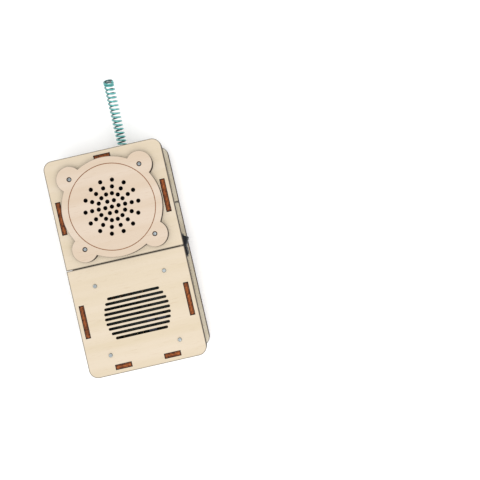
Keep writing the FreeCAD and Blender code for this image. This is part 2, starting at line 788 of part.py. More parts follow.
def board_components():
    """Everything soldered to the front of the board, under the spacers' height."""
    base = BOARD_FRONT
    x = dim(-10)
    y = S.grille_y + 2
    chip = centred("chip_case", x, y, (base + 0.5, base + 3.7), (19.2, 6.4))
    legs = []
    for index in range(8):
        for side in (-1, 1):
            leg_x = x + (index - 3.5) * 2.54
            legs.append(centred("chip_leg", leg_x, y + side * 3.45, (base, base + 2.2), (0.5, 0.3)))
    group("radio_chip", [chip] + legs)

    x, y = dim(23.4), S.grille_y - 12
    middle = centred("crystal_middle", x, y, (base, base + 3.5), (4.6, 6.4))
    ends = [rod("crystal_end", 2.3, "Z", (base, base + 3.5), x, y + side * 3.2) for side in (-1, 1)]
    sub_part("crystal", fuse("crystal", middle, *ends))

    x, y = dim(-23), S.grille_y - 6.5
    can = centred("coil_can", x, y, (base, base + 5.3), (7.0, 7.0))
    sub_part("tuning_can", cut("tuning_can", can, rod("can_hole", 1.6, "Z", (base + 2.5, base + 5.3), x, y)))
    sub_part("tuning_core", rod("tuning_core", 1.45, "Z", (base + 2.5, base + 4.9), x, y))

    places = [(6, -6), (13, -6), (6, -13)]
    group("electrolytic_capacitors", [
        rod(f"electrolytic_{i}", 2.5, "Z", (base, base + 5.2), dim(px), S.grille_y + py)
        for i, (px, py) in enumerate(places)])
    places = [(-14, 11), (-9, 11), (-4, 11), (14, -13), (1, 8)]
    group("ceramic_capacitors", [
        rod(f"ceramic_{i}", 2.0, "X", (px - 0.6, px + 0.6), 0, S.grille_y + py, base + 2.5)
        for i, (px, py) in enumerate(places)])
    places = [(-17, -17), (-13, -17), (-9, -17), (-5, -17), (-1, -17), (4, 15)]
    resistors = []
    for i, (px, py) in enumerate(places):
        mid_y = S.grille_y + py
        case = rod(f"resistor_{i}", 1.1, "Y", (mid_y - 3, mid_y + 3), px, 0, base + 1.3)
        lead = rod(f"resistor_lead_{i}", 0.3, "Y", (mid_y - 4.6, mid_y + 4.6), px, 0, base + 1.3)
        resistors.append(fuse(f"resistor_with_leads_{i}", case, lead))
    group("resistors", resistors)
    places = [(19, 2), (19, -5), (4, 2)]
    transistors = []
    for i, (px, py) in enumerate(places):
        mid_y = S.grille_y + py
        round_case = rod(f"transistor_{i}", 2.3, "Z", (base + 0.6, base + 5.1), px, mid_y)
        flat = centred(f"flat_{i}", px, mid_y - 2.6, (base, base + 6), (6.0, 2.0))
        transistors.append(cut(f"flat_transistor_{i}", round_case, flat))
    group("transistors", transistors)


circuit_board()
board_components()


# ---------------------------------------------------------------- wires
def bend_trims(points, share):
    """How far each arc reaches along its runs: a share of the shorter, or all that is left of the first."""
    runs = [(end - start).Length for start, end in zip(points, points[1:])]
    trims = [0.0]
    for before, after in zip(runs, runs[1:]):
        trim = share * min(before, after)
        rest = before - trims[-1]
        trims.append(rest if abs(rest - trim) < 0.12 * trim else trim)
    return trims


def round_wire(points, radius, share):
    """A wire along straight runs with a tangent arc at each turn."""
    edges = []
    start = points[0]
    trims = bend_trims(points, share)
    for index in range(1, len(points) - 1):
        before = points[index] - points[index - 1]
        after = points[index + 1] - points[index]
        enter = points[index] - before / before.Length * trims[index]
        leave = points[index] + after / after.Length * trims[index]
        bend = trims[index] / math.tan(before.getAngle(after) / 2)
        inward = (after / after.Length - before / before.Length).normalize()
        middle = points[index] + inward * (math.hypot(bend, trims[index]) - bend)
        if (enter - start).Length > 1e-5:
            edges.append(Part.makeLine(start, enter))
        edges.append(Part.Arc(enter, middle, leave).toShape())
        start = leave
    edges.append(Part.makeLine(start, points[-1]))
    path = Part.Wire(edges)
    section = Part.Wire(Part.makeCircle(radius, points[0], points[1] - points[0]))
    solid = path.makePipeShell([section], True, False)
    expected = math.pi * radius * radius * path.Length
    if abs(solid.Volume - expected) > 0.01 * expected:
        raise RuntimeError(f"a wire has volume {solid.Volume:.2f}, not {expected:.2f}")
    return solid


# ---------------------------------------------------------------- cells and their tray
BAY = 2 * (S.cell_radius + S.cell_play)
BAY_PITCH = BAY + S.tray_rib
BAY_LENGTH = S.cell_length + S.nub_length + S.spring_length + 2 * S.plate_thick + 0.4
TRAY_TOP = BOARD_BACK - S.tape_thick
TRAY_FLOOR = TRAY_TOP - S.tray_wall
CELL_Z = TRAY_FLOOR - S.cell_radius - 0.05
TRAY_OPEN = CELL_Z - S.cell_radius - 0.6


def bay_rows():
    """Each cell's middle in Y and the way its positive end points."""
    return [(S.grille_y + BAY_PITCH * step, way) for step, way in ((-1, 1), (0, -1), (1, 1))]


def battery_tray():
    half_x = BAY_LENGTH / 2 + S.tray_wall
    half_y = BAY_PITCH + BAY / 2 + S.tray_wall
    tray = box("tray_block", (-half_x, half_x), (S.grille_y - half_y, S.grille_y + half_y),
               (TRAY_OPEN, TRAY_TOP))
    bays = [box("tray_bay", (-BAY_LENGTH / 2, BAY_LENGTH / 2), (y - BAY / 2, y + BAY / 2),
                (TRAY_OPEN - 1, TRAY_FLOOR)) for y, way in bay_rows()]
    sub_part("battery_tray", cut("battery_tray", tray, *bays))
    tape = centred("foam_tape", 0, S.grille_y, (TRAY_TOP, BOARD_BACK), (30.0, 20.0))
    sub_part("foam_tape", tape)


def battery_cells():
    cells = []
    plates = []
    for index, (y, way) in enumerate(bay_rows()):
        nub_end = way * (BAY_LENGTH / 2 - S.plate_thick - 0.05)
        shoulder = nub_end - way * S.nub_length
        tail = shoulder - way * S.cell_length
        low, high = (tail, shoulder) if way > 0 else (shoulder, tail)
        can = rod(f"cell_can_{index}", S.cell_radius, "X", (low, high), 0, y, CELL_Z)
        low, high = (shoulder, nub_end) if way > 0 else (nub_end, shoulder)
        nub = rod(f"cell_nub_{index}", S.nub_radius, "X", (low, high), 0, y, CELL_Z)
        cells.append(fuse(f"cell_{index}", can, nub))
        for side in (-1, 1):
            face = side * BAY_LENGTH / 2
            span = (face - S.plate_thick, face) if side > 0 else (face, face + S.plate_thick)
            edge = (y - 4.2, y + 4.2)
            plates.append(box(f"plate_{index}", span, edge, (CELL_Z - 4.2, CELL_Z + 4.2)))
    group("battery_cells", cells)
    group("battery_contacts", plates)


def battery_springs():
    """A conical spring at each cell's flat end, wide at the plate and narrow at the cell."""
    wire = 0.3
    wide = 3.6
    narrow = 2.2
    coils = 4
    corners_a_turn = 4
    length = S.spring_length.value - 2 * wire - 0.1
    foot = BAY_LENGTH.value / 2 - S.plate_thick.value - wire - 0.05
    swell = 1 / math.cos(math.pi / corners_a_turn)
    springs = []
    for y, way in bay_rows():
        points = []
        for step in range(coils * corners_a_turn + 1):
            share = step / (coils * corners_a_turn)
            angle = 2 * math.pi * step / corners_a_turn
            radius = (wide + (narrow - wide) * share) * swell
            x = way * (length * share - foot)
            points.append(V(x, y.value + radius * math.cos(angle), CELL_Z.value + radius * math.sin(angle)))
        springs.append(round_wire(points, wire, 0.5))
    feature = doc.addObject("Part::Feature", "battery_springs")
    feature.Shape = Part.makeCompound(springs)
    sub_part("battery_springs", feature)


battery_tray()
battery_cells()
battery_springs()


# ---------------------------------------------------------------- rocker switch
PIVOT_X = WALL_X + S.bezel_thick - S.pivot_depth


def rocker_switch():
    half_z = S.switch_width / 2
    bezel = box("bezel", (WALL_X, WALL_X + S.bezel_thick), (-S.bezel_length / 2, S.bezel_length / 2),
                (MID - S.bezel_width / 2, MID + S.bezel_width / 2))
    case = box("switch_case", (WALL_X - S.switch_depth, WALL_X),
               (-S.switch_length / 2, S.switch_length / 2), (MID - half_z, MID + half_z))
    well_y = S.rocker_radius + S.rocker_play
    well_z = S.rocker_width / 2 + S.rocker_play
    floor = PIVOT_X - S.rocker_skirt - 1.6
    well = box("switch_well", (floor, WALL_X + S.bezel_thick + 1), (-well_y, well_y),
               (MID - well_z, MID + well_z))
    pin_end = half_z - 0.15
    bore = rod("pivot_bore", S.trunnion_radius + S.trunnion_play, "Z", (MID - pin_end, MID + pin_end),
               PIVOT_X)
    sub_part("switch_housing", cut("switch_housing", fuse("switch_shell", bezel, case), well, bore))

    # The rocker is drawn level about its pivot: a drum, cut to two facets that rise to each end.
    half = S.rocker_width / 2
    reach = S.rocker_radius + 1
    drum = rod("rocker_drum", S.rocker_radius, "Z", (-half, half))
    skirt = box("rocker_skirt", (-reach, -S.rocker_skirt), (-reach, reach), (-half, half))
    valley = S.facet_height * math.tan(math.radians(S.rocker_angle.value / 2))
    facets = []
    for side in (-1, 1):
        start = -valley if side > 0 else valley - reach
        block = box("rocker_facet", (S.facet_height, S.facet_height + reach), (start, start + reach),
                    (-half, half))
        facet = doc.addObject("Part::Compound", "tilted_facet")
        facet.Links = [block]
        bind(facet, "Placement.Rotation.Angle", -side * S.rocker_angle / 2)
        facets.append(facet)
    shaped = cut("rocker_blade", drum, skirt, *facets)
    pin_half = S.switch_width / 2 - 0.25
    trunnion = rod("rocker_trunnion", S.trunnion_radius, "Z", (-pin_half, pin_half))
    rocker = fuse("switch_rocker", shaped, trunnion)
    put(rocker, PIVOT_X, 0, MID)
    bind(rocker, "Placement.Rotation.Angle", -S.rocker_angle / 2)
    sub_part("switch_rocker", rocker)

    back = WALL_X - S.switch_depth
    group("switch_terminals", [
        box(f"switch_tag_{side}", (back - 4.5, back), (side * 3.5 - 0.3, side * 3.5 + 0.3),
            (MID - 1.4, MID + 1.4)) for side in (-1, 1)])


rocker_switch()


# ---------------------------------------------------------------- push-to-talk button
def talk_button():
    face = -INNER_X
    half = S.talk_size / 2
    well = 1.2
    case = box("talk_case", (face, face + S.talk_depth), (S.talk_y - half, S.talk_y + half),
               (MID - half, MID + half))
    bore = rod("talk_bore", S.plunger_radius + 0.08, "X", (face - 1, face + well), 0, S.talk_y, MID)
    sub_part("talk_switch", cut("talk_switch", case, bore))
    dome_thick = 0.1
    dome = rod("talk_dome", S.plunger_radius - 0.15, "X", (face + well - dome_thick, face + well),
               0, S.talk_y, MID)
    sub_part("talk_dome", dome)
    inner_end = face + well - dome_thick - 0.05 - S.plunger_travel
    plunger = rod("talk_plunger", S.plunger_radius, "X", (-WALL_X - S.plunger_proud, inner_end),
                  0, S.talk_y, MID)
    sub_part("talk_plunger", plunger)
    pins = []
    for sy, sz in CORNERS:
        pin_y = S.talk_y + sy * (half + 0.15)
        pins.append(box("talk_pin", (face + 1.5, face + S.talk_depth + 3), (pin_y - 0.15, pin_y + 0.15),
                        (MID + sz * 2.25 - 0.35, MID + sz * 2.25 + 0.35)))
    group("talk_pins", pins)


talk_button()


# ---------------------------------------------------------------- antenna
def antenna_frame(distance):
    """A point of the antenna's centre line, its direction, and the two directions across it."""
    length = S.antenna_length.value
    start = math.radians(S.base_lean.value)
    bend = math.radians(S.tip_lean.value) - start
    radius = length / bend
    lean = start + bend * distance / length
    along = radius * (math.sin(lean) - math.sin(start))
    rise = radius * (math.cos(start) - math.cos(lean))
    side = math.radians(S.side_lean.value)
    forward = V(math.sin(side), 0, math.cos(side))
    across = V(math.cos(side), 0, -math.sin(side))
    centre = V(0, along, 0) + forward * rise
    normal = forward * math.cos(lean) - V(0, math.sin(lean), 0)
    return centre, across, normal


def antenna_turns(distance):
    """How many turns the wire has made: none along the leg, then evenly, then closed at the tip."""
    ramp = S.antenna_pitch.value
    leg = S.antenna_leg.value
    closed = S.antenna_length.value - S.closed_length.value
    wound = max(0.0, distance - leg)
    if wound < ramp:
        return wound * wound / (2 * ramp * ramp)
    turns = 0.5 + (min(distance, closed) - leg - ramp) / S.antenna_pitch.value
    return turns + max(0.0, distance - closed) / S.closed_pitch.value


def antenna_point(distance, swell):
    """A corner of the wire's path; swell sets it out so that the arcs between corners keep the radius."""
    radius = S.coil_outside.value - S.wire_radius.value
    centre, across, normal = antenna_frame(distance)
    angle = math.pi + 2 * math.pi * antenna_turns(distance)
    leg = V(S.antenna_x.value, WALL_Y.value + S.antenna_root.value, MID.value)
    around = across * (radius * swell * math.cos(angle)) + normal * (radius * swell * math.sin(angle))
    return leg + across * radius + centre + around


def distance_at(turns):
    """Where along the antenna the wire has made so many turns."""
    low, high = 0.0, S.antenna_length.value
    for halving in range(40):
        middle = (low + high) / 2
        if antenna_turns(middle) < turns:
            low = middle
        else:
            high = middle
    return high


def antenna():
    """The straight leg, the open coils and the closed coils, as one wire."""
    corners_a_turn = 4
    points = [antenna_point(0.0, 1.0), antenna_point(S.antenna_leg.value / 2, 1.0)]
    steps = int(antenna_turns(S.antenna_length.value) * corners_a_turn)
    swell = 1 / math.cos(math.pi / corners_a_turn)
    for step in range(1, steps + 1):
        turns = step / corners_a_turn
        points.append(antenna_point(distance_at(turns), swell if turns > 0.5 else 1.0))
    coil = round_wire(points, S.wire_radius.value, 0.5)
    feature = doc.addObject("Part::Feature", "antenna_coil")
    feature.Shape = coil
    sub_part("antenna_coil", feature)

    root_y = WALL_Y + S.antenna_root
    sub_part("antenna_leg", rod("antenna_leg", S.wire_radius, "Y", (INNER_Y - 4, root_y - S.bend_gap),
                                S.antenna_x, 0, MID))
    lug = tube("lug_ring", 2.2, S.wire_radius + 0.02, "Y", (INNER_Y - 0.5, INNER_Y), S.antenna_x, 0, MID)
    sub_part("antenna_lug", lug)


antenna()


# ---------------------------------------------------------------- hook-up wires
def leads(label, routes):
    """Wires that share a node, one for each route."""
    feature = doc.addObject("Part::Feature", label)
    feature.Shape = Part.makeCompound([
        round_wire([V(*point) for point in route], S.lead_radius.value, 0.45) for route in routes])
    sub_part(label, feature)


def hook_up_wires():
    back = BOARD_BACK.value
    top = BOARD_TOP.value
    mid = MID.value
    hole_x = BOARD_XY.value
    pad_z = back - S.lead_radius.value - 0.05
    tag_z = TERMINAL_Z.value - TAG_THICK - S.lead_radius.value - 0.05
    tag_y = TERMINAL_Y.value - TAG_REACH
    leads("speaker_wires", [
        [(x, tag_y, tag_z), (x, tag_y - 5, tag_z - 1.5), (x, top + 4, tag_z - 2.5), (x, top - 3, pad_z)]
        for x in (-3.5, 3.5)])
    tail = WALL_X.value - S.switch_depth.value - 4.5 - S.lead_radius.value - 0.05
    leads("switch_wires", [
        [(tail, y, mid), (tail - 2, y - 3, mid + 0.5), (hole_x - 6.75 - y * 0.5, top - 3, pad_z)]
        for y in (-3.5, 3.5)])
    talk = -INNER_X.value + S.talk_depth.value + 3.5 + S.lead_radius.value
    low = S.talk_y.value - S.talk_size.value / 2
    leads("talk_wires", [
        [(talk, low, mid + z), (talk, low - 8, mid + z - 1), (talk - 1, low - 20, 8 + z),
         (0.2 - hole_x, top + 6, 8 + z), (7.2 - hole_x, top - 3 + z / 2, pad_z)]
        for z in (-2.25, 2.25)])
    lug_y = INNER_Y.value - 4
    antenna_x = S.antenna_x.value
    low_z = BACK_IN.value + 2.2
    leads("antenna_wire", [[
        (antenna_x, lug_y - 0.15, mid), (antenna_x, lug_y - 6, mid - 2), (antenna_x + 1, lug_y - 14, low_z),
        (antenna_x + 1.5, 12, low_z), (antenna_x + 2, 2, low_z + 3), (antenna_x + 3, top - 3, pad_z)]])


hook_up_wires()


# ---------------------------------------------------------------- checks and files
def check():
    """Stop if an object failed, a cut missed, or a piece isn't a sound solid."""
    doc.recompute()
    for thing in doc.Objects:
        if "Invalid" in thing.State or "Error" in thing.State:
            raise RuntimeError(f"{thing.Label} failed: {thing.State}")
        if thing.TypeId == "PartDesign::Pocket":
            if thing.Shape.Volume > thing.BaseFeature.Shape.Volume - 1e-6:
                raise RuntimeError(f"{thing.Label} cuts nothing")
    for piece in sub_parts:
        shape = piece.Shape
        if shape.isNull() or not shape.isValid() or not shape.Solids:
            raise RuntimeError(f"{piece.Label} isn't a valid solid")


check()
os.makedirs("parts", exist_ok=True)
for piece in sub_parts:
    piece.Shape.exportStep(f"parts/{piece.Label}.step")
print(len(sub_parts), "sub-parts written")
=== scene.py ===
# %% [markdown]
# # A toy walkie talkie, dressed for a picture
# The toy is a kit: laser-cut birch plywood sheets slot together into a box, with a loudspeaker under a
# lobed disc, a grille of slits over a radio board, a rocker switch on one side, a talk button on the
# other, and an antenna wound from enamelled wire.  Its frame, with every size and every joint, is
# already made.  What is left is what a camera sees: wood, metal, plastic, lacquer and light.

# %% Load the frame
import json
import math

import bmesh
import bpy
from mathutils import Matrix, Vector


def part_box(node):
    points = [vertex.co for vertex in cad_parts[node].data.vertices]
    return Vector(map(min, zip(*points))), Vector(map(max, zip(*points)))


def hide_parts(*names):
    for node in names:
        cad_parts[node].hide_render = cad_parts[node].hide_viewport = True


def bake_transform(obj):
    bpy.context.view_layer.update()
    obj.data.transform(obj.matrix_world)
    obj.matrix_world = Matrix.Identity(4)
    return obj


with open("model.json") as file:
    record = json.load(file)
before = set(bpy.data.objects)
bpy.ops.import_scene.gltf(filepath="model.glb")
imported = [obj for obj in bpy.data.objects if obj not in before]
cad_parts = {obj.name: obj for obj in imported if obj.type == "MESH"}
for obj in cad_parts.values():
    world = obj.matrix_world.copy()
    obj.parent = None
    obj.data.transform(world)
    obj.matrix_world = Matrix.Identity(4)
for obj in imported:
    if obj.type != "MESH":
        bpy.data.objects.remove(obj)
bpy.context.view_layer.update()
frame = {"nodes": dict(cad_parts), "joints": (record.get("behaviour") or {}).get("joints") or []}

# %% [markdown]
# ## Lengths and colours
# Blender works in metres, while a maker of small things thinks in millimetres, so one name turns one
# into the other.  Colours are written the way a paint chart or a web page gives them, as a hex value,
# and that is a value for the eye.  Light adds up in linear values, so one function turns the first
# into the second, and every colour in the file goes through it.

# %% Millimetres and linear colour
MM = 0.001


def linear(hex_colour):
    """An sRGB hex colour, such as "D9C9AE", as the linear colour that a shader works in."""
    channels = [int(hex_colour[i:i + 2], 16) / 255 for i in (0, 2, 4)]
    return tuple(c / 12.92 if c <= 0.04045 else ((c + 0.055) / 1.055) ** 2.4 for c in channels) + (1.0,)


print("a pale birch in linear light:", [round(c, 3) for c in linear("D9C9AE")])

# %% [markdown]
# ## The camera
# The toy lies on its back on a white table, and the camera looks straight down on it from less than
# half an arm's length, a little to the toy's right, so that side shows as a narrow strip.  A camera
# could be tilted at the toy instead, but then the straight sides of the case would lean towards each
# other.  Held level like this, they stay parallel, as on a copying stand.

# %% Set up the camera
CAMERA_PLACE = (69.5 * MM, -4.6 * MM, 289 * MM)
CAMERA_TURN = math.radians(-12.85)
LENS = 32.7             # mm, on a sensor of the next width
SENSOR_WIDTH = 36       # mm
NEAREST = 0.01          # metres, the closest thing that is drawn

camera_data = bpy.data.cameras.new("camera")
camera_data.lens = LENS
camera_data.sensor_width = SENSOR_WIDTH
camera_data.clip_start = NEAREST
camera = bpy.data.objects.new("camera", camera_data)
camera.location = CAMERA_PLACE
camera.rotation_euler = (0, 0, CAMERA_TURN)
bpy.context.scene.collection.objects.link(camera)
bpy.context.scene.camera = camera
print("the camera is", round(CAMERA_PLACE[2] / MM), "mm above the table")

# %% [markdown]
# ## One helper for shader nodes
# A finish is a small network of nodes.  Written out in full, each node takes four or five lines, and
# the idea of the network is lost.  This one function adds any node, sets its properties, and gives
# each socket either a plain value or a link, so that a network reads from top to bottom like a recipe.

# %% Add a node
def add(tree, kind, feed=None, **settings):
    """One shader node: feed gives its sockets a value or a link, and settings are its properties."""
    node = tree.nodes.new("ShaderNode" + kind)
    for name, value in settings.items():
        setattr(node, name, value)
    for socket, source in (feed or {}).items():
        if isinstance(source, bpy.types.NodeSocket):
            tree.links.new(source, node.inputs[socket])
        else:
            node.inputs[socket].default_value = source
    return node


def begin(name):
    """An empty material, with its shader, and the surface's position in millimetres."""
    material = bpy.data.materials.new(name)
    material.use_nodes = True
    tree = material.node_tree
    tree.nodes.clear()
    shader = add(tree, "BsdfPrincipled")
    add(tree, "OutputMaterial", {"Surface": shader.outputs["BSDF"]})
    place = add(tree, "TexCoord")
    position = add(tree, "VectorMath", {0: place.outputs["Object"], 1: (1 / MM,) * 3}, operation="MULTIPLY")
    return material, tree, shader, position.outputs[0]


def dress(material, *names):
    """Give CAD pieces a material by filling their slots."""
    for name in names:
        for holder in frame["nodes"][name].material_slots:
            holder.material = material
    print(material.name, "on", ", ".join(names))


# %% [markdown]
# ## The table and the studio light
# Small goods are often shot on a white sweep under one large soft box.  The sheet is so bright that it
# goes to pure white, and the box is so large that shadows have no edge.  A sheet with a rounded rise at
# the back would do, but the camera looks straight down, so a flat one is enough.  The toy covers a
# window in the sheet that is a little smaller than itself, so that its back can be looked at from
# below.  The view is set to Standard, because the default film-like view turns pure white to grey.

# %% The sheet and its window
SWEEP_SPREAD = 30       # how many times larger than its window the sheet is
SWEEP_DROP = 0.1 * MM   # a hair's breadth under the toy, so that the two faces never share a plane
WINDOW_INSET = 0.6 * MM
WINDOW_CORNER = 5.0 * MM
PULP_WIDTH = 0.5        # mm, the card's fibres


def rounded_corners(half_x, half_y, radius, steps=6):
    """Points round a rectangle with round corners, centred on the origin."""
    points = []
    for quarter, (x, y) in enumerate([(1, 1), (-1, 1), (-1, -1), (1, -1)]):
        for step in range(steps + 1):
            angle = math.pi / 2 * (quarter + step / steps)
            points.append((x * (half_x - radius) + radius * math.cos(angle),
                           y * (half_y - radius) + radius * math.sin(angle)))
    return points


back_low, back_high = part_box("battery_cover")[0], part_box("back_upper_panel")[1]
window = rounded_corners((back_high.x - back_low.x) / 2 - WINDOW_INSET,
                         (back_high.y - back_low.y) / 2 - WINDOW_INSET, WINDOW_CORNER)
sheet_mesh = bmesh.new()
window_edge = [sheet_mesh.verts.new((x, y, -SWEEP_DROP)) for x, y in window]
sheet_edge = [sheet_mesh.verts.new((x * SWEEP_SPREAD, y * SWEEP_SPREAD, -SWEEP_DROP)) for x, y in window]
for index in range(len(window)):
    following = (index + 1) % len(window)
    sheet_mesh.faces.new((window_edge[index], sheet_edge[index],
                          sheet_edge[following], window_edge[following]))
sweep_data = bpy.data.meshes.new("white_sweep")
sheet_mesh.to_mesh(sweep_data)
sheet_mesh.free()
sweep = bpy.data.objects.new("white_sweep", sweep_data)
bpy.context.scene.collection.objects.link(sweep)

# Matt card, pressed from pulp: even, almost white, and too rough to mirror anything.
card, card_tree, card_shader, card_mm = begin("white card")
card_fibre = add(card_tree, "TexNoise", {"Vector": card_mm, "Scale": 1 / PULP_WIDTH,
                                              "Detail": 2.0})
card_colour = add(card_tree, "Mix", {0: card_fibre.outputs[0], 6: linear("F6F6F6"), 7: linear("FAFAFA")},
                  data_type="RGBA")
card_tree.links.new(card_colour.outputs[2], card_shader.inputs["Base Color"])
card_shader.inputs["Roughness"].default_value = 0.9
sweep_data.materials.append(card)
print("points round the window:", len(window))

# %% The soft box and the white surroundings
LIGHT_SIZE = 1.6        # metres
LIGHT_PLACE = (0.27, -0.42, 1.15)
LIGHT_POWER = 14.9      # watts
SURROUND = 0.8          # how bright the white studio walls are

soft_box = bpy.data.lights.new("soft_box", "AREA")
soft_box.size = LIGHT_SIZE
soft_box.energy = LIGHT_POWER
soft_box_object = bpy.data.objects.new("soft_box", soft_box)
soft_box_object.location = LIGHT_PLACE
soft_box_object.rotation_euler = Vector(LIGHT_PLACE).to_track_quat("Z", "Y").to_euler()
bpy.context.scene.collection.objects.link(soft_box_object)

world = bpy.data.worlds.new("white_studio")
world.use_nodes = True
world.node_tree.nodes["Background"].inputs["Color"].default_value = (1, 1, 1, 1)
world.node_tree.nodes["Background"].inputs["Strength"].default_value = SURROUND
bpy.context.scene.world = world
bpy.context.scene.view_settings.view_transform = "Standard"
print("soft box:", LIGHT_SIZE, "m wide,", LIGHT_POWER, "W")

# %% [markdown]
# ## Birch plywood
# The case is 3 mm birch plywood: three veneers of about 1 mm, the middle one with its grain turned.
# Birch is pale, with a fine straight figure, short darker vessels, and broad soft bands where the
# knife that peeled the veneer ran in and out of the year rings.  A laser cuts it, and leaves every cut
# edge a charred red-brown with fine upright streaks, darker where the beam came in and where it left.
#
# A picture of wood could be wrapped on each sheet, but its joints would show on the edges.  Here the
# colour is worked out from where a point lies in the sheet.  The surface's own direction says whether
# it is a face or an edge.  On a face the grain is noise drawn out along the fibres, and on an edge the
# depth into the sheet picks the veneer.  A face that lies below the sheet's surface is the floor of an
# engraved line or of a sunk screw hole, and it is scorched too.

# %% Real sizes in a veneer and a laser cut
VENEER_COUNT = 3
SHEET_DEPTH = 3.0       # mm
FIGURE_WIDTH = 9.0      # mm, the soft bands
FIBRE_WIDTH = 0.45      # mm; real fibres are finer, and are drawn this coarse so that they show
VESSEL_WIDTH = 0.3      # mm, the short dark dashes
GRAIN_STRETCH = 22.0    # how much longer than wide a fibre is drawn
STREAK_WIDTH = 0.35     # mm, the laser's pulses along a cut
STREAK_SQUASH = 0.12    # how little a streak changes through the sheet
CLOUD_WIDTH = 20 / 7    # mm, slow changes of the char along a cut
FACE_LIMIT = 0.7        # how squarely a surface must face out to be a face of the sheet
SKIN = 0.1              # mm, how far under the surface a face counts as engraved
WOOD_RELIEF = 0.05      # mm, from the top of a fibre or a streak to its foot
SMOKE_WIDTH = 0.55      # mm, the brown line beside a cut
SMOKE_EDGE = 0.15       # mm, where that line is at its darkest
SMOKE_DEPTH = 0.85      # how dark that line gets
SEAM_SMOKE = 1.7        # beside a seam the smoke line is drawn this many times wider
TAB_GAP_SHADE = 0.8       # mm, how far from its corners a tab's end is drawn black: painted shade of the gap round the tab
print("one veneer is", SHEET_DEPTH / VENEER_COUNT, "mm thick")

# %% [markdown]
# ### How far a point is from a cut
# Beside each outer cut the beam's smoke draws a thin brown line on the skin.  To draw it, a shader has
# to know how far a point is from the cut.  That can be stored on the mesh, but a flat sheet has no
# points in its middle to store it on, so it is worked out from the position: one recipe for the case's
# rounded rectangle, one for a straight seam, and one for the disc with its four lobes.

# %% Three outlines as distances
def rounded_outline(tree, position, outline):
    """How far a point is outside a rounded rectangle, in mm: (centre, half size, corner radius)."""
    centre, half, radius = outline
    shifted = add(tree, "VectorMath", {0: position, 1: (*centre, 0.0)}, operation="SUBTRACT").outputs[0]
    folded = add(tree, "VectorMath", {0: shifted}, operation="ABSOLUTE").outputs[0]
    # The third number is far beyond any height in the toy, so that height plays no part.
    inner = (half[0] - radius, half[1] - radius, 1000.0)
    past = add(tree, "VectorMath", {0: folded, 1: inner}, operation="SUBTRACT").outputs[0]
    clipped = add(tree, "VectorMath", {0: past, 1: (0.0, 0.0, 0.0)}, operation="MAXIMUM").outputs[0]
    corner = add(tree, "VectorMath", {0: clipped}, operation="LENGTH").outputs["Value"]
    parts = add(tree, "SeparateXYZ", {0: past})
    side = add(tree, "Math", {0: parts.outputs[0], 1: parts.outputs[1]}, operation="MAXIMUM").outputs[0]
    side = add(tree, "Math", {0: side, 1: 0.0}, operation="MINIMUM").outputs[0]
    reach = add(tree, "Math", {0: corner, 1: side}, operation="ADD").outputs[0]
    return add(tree, "Math", {0: reach, 1: radius}, operation="SUBTRACT").outputs[0]


def seam_outline(tree, position, seam):
    """How far a point is inside a seam across the case, in mm as a negative number, drawn in a little
    so that the smoke beside a seam comes out wider."""
    height = add(tree, "SeparateXYZ", {0: position}).outputs[1]
    gap = add(tree, "Math", {0: height, 1: seam}, operation="SUBTRACT").outputs[0]
    gap = add(tree, "Math", {0: gap}, operation="ABSOLUTE").outputs[0]
    return add(tree, "Math", {0: gap, 1: -1 / SEAM_SMOKE}, operation="MULTIPLY").outputs[0]


def lobed_outline(tree, position, centre, disc_radius, lobe_reach, lobe_radius):
    """How far a point is outside a disc with four round lobes, in mm."""
    shifted = add(tree, "VectorMath", {0: position, 1: (0.0, centre, 0.0)}, operation="SUBTRACT").outputs[0]
    flat = add(tree, "VectorMath", {0: shifted, 1: (1.0, 1.0, 0.0)}, operation="MULTIPLY").outputs[0]
    folded = add(tree, "VectorMath", {0: flat}, operation="ABSOLUTE").outputs[0]
    to_lobe = add(tree, "VectorMath", {0: folded, 1: (lobe_reach, lobe_reach, 0.0)}, operation="SUBTRACT")
    distances = []
    for source, radius in ((folded, disc_radius), (to_lobe.outputs[0], lobe_radius)):
        length = add(tree, "VectorMath", {0: source}, operation="LENGTH").outputs["Value"]
        distances.append(add(tree, "Math", {0: length, 1: radius}, operation="SUBTRACT").outputs[0])
    return add(tree, "Math", {0: distances[0], 1: distances[1]}, operation="MINIMUM").outputs[0]


print("smoke beside a cut:", SMOKE_WIDTH, "mm, beside a seam:", round(SMOKE_WIDTH * SEAM_SMOKE, 2), "mm")

# %% [markdown]
# ### The skin of the sheet
# The grain is three layers of the same noise, each squeezed along the fibres: wide for the figure,
# fine for the fibres, finer still for the vessels, of which only the strongest peaks are drawn.

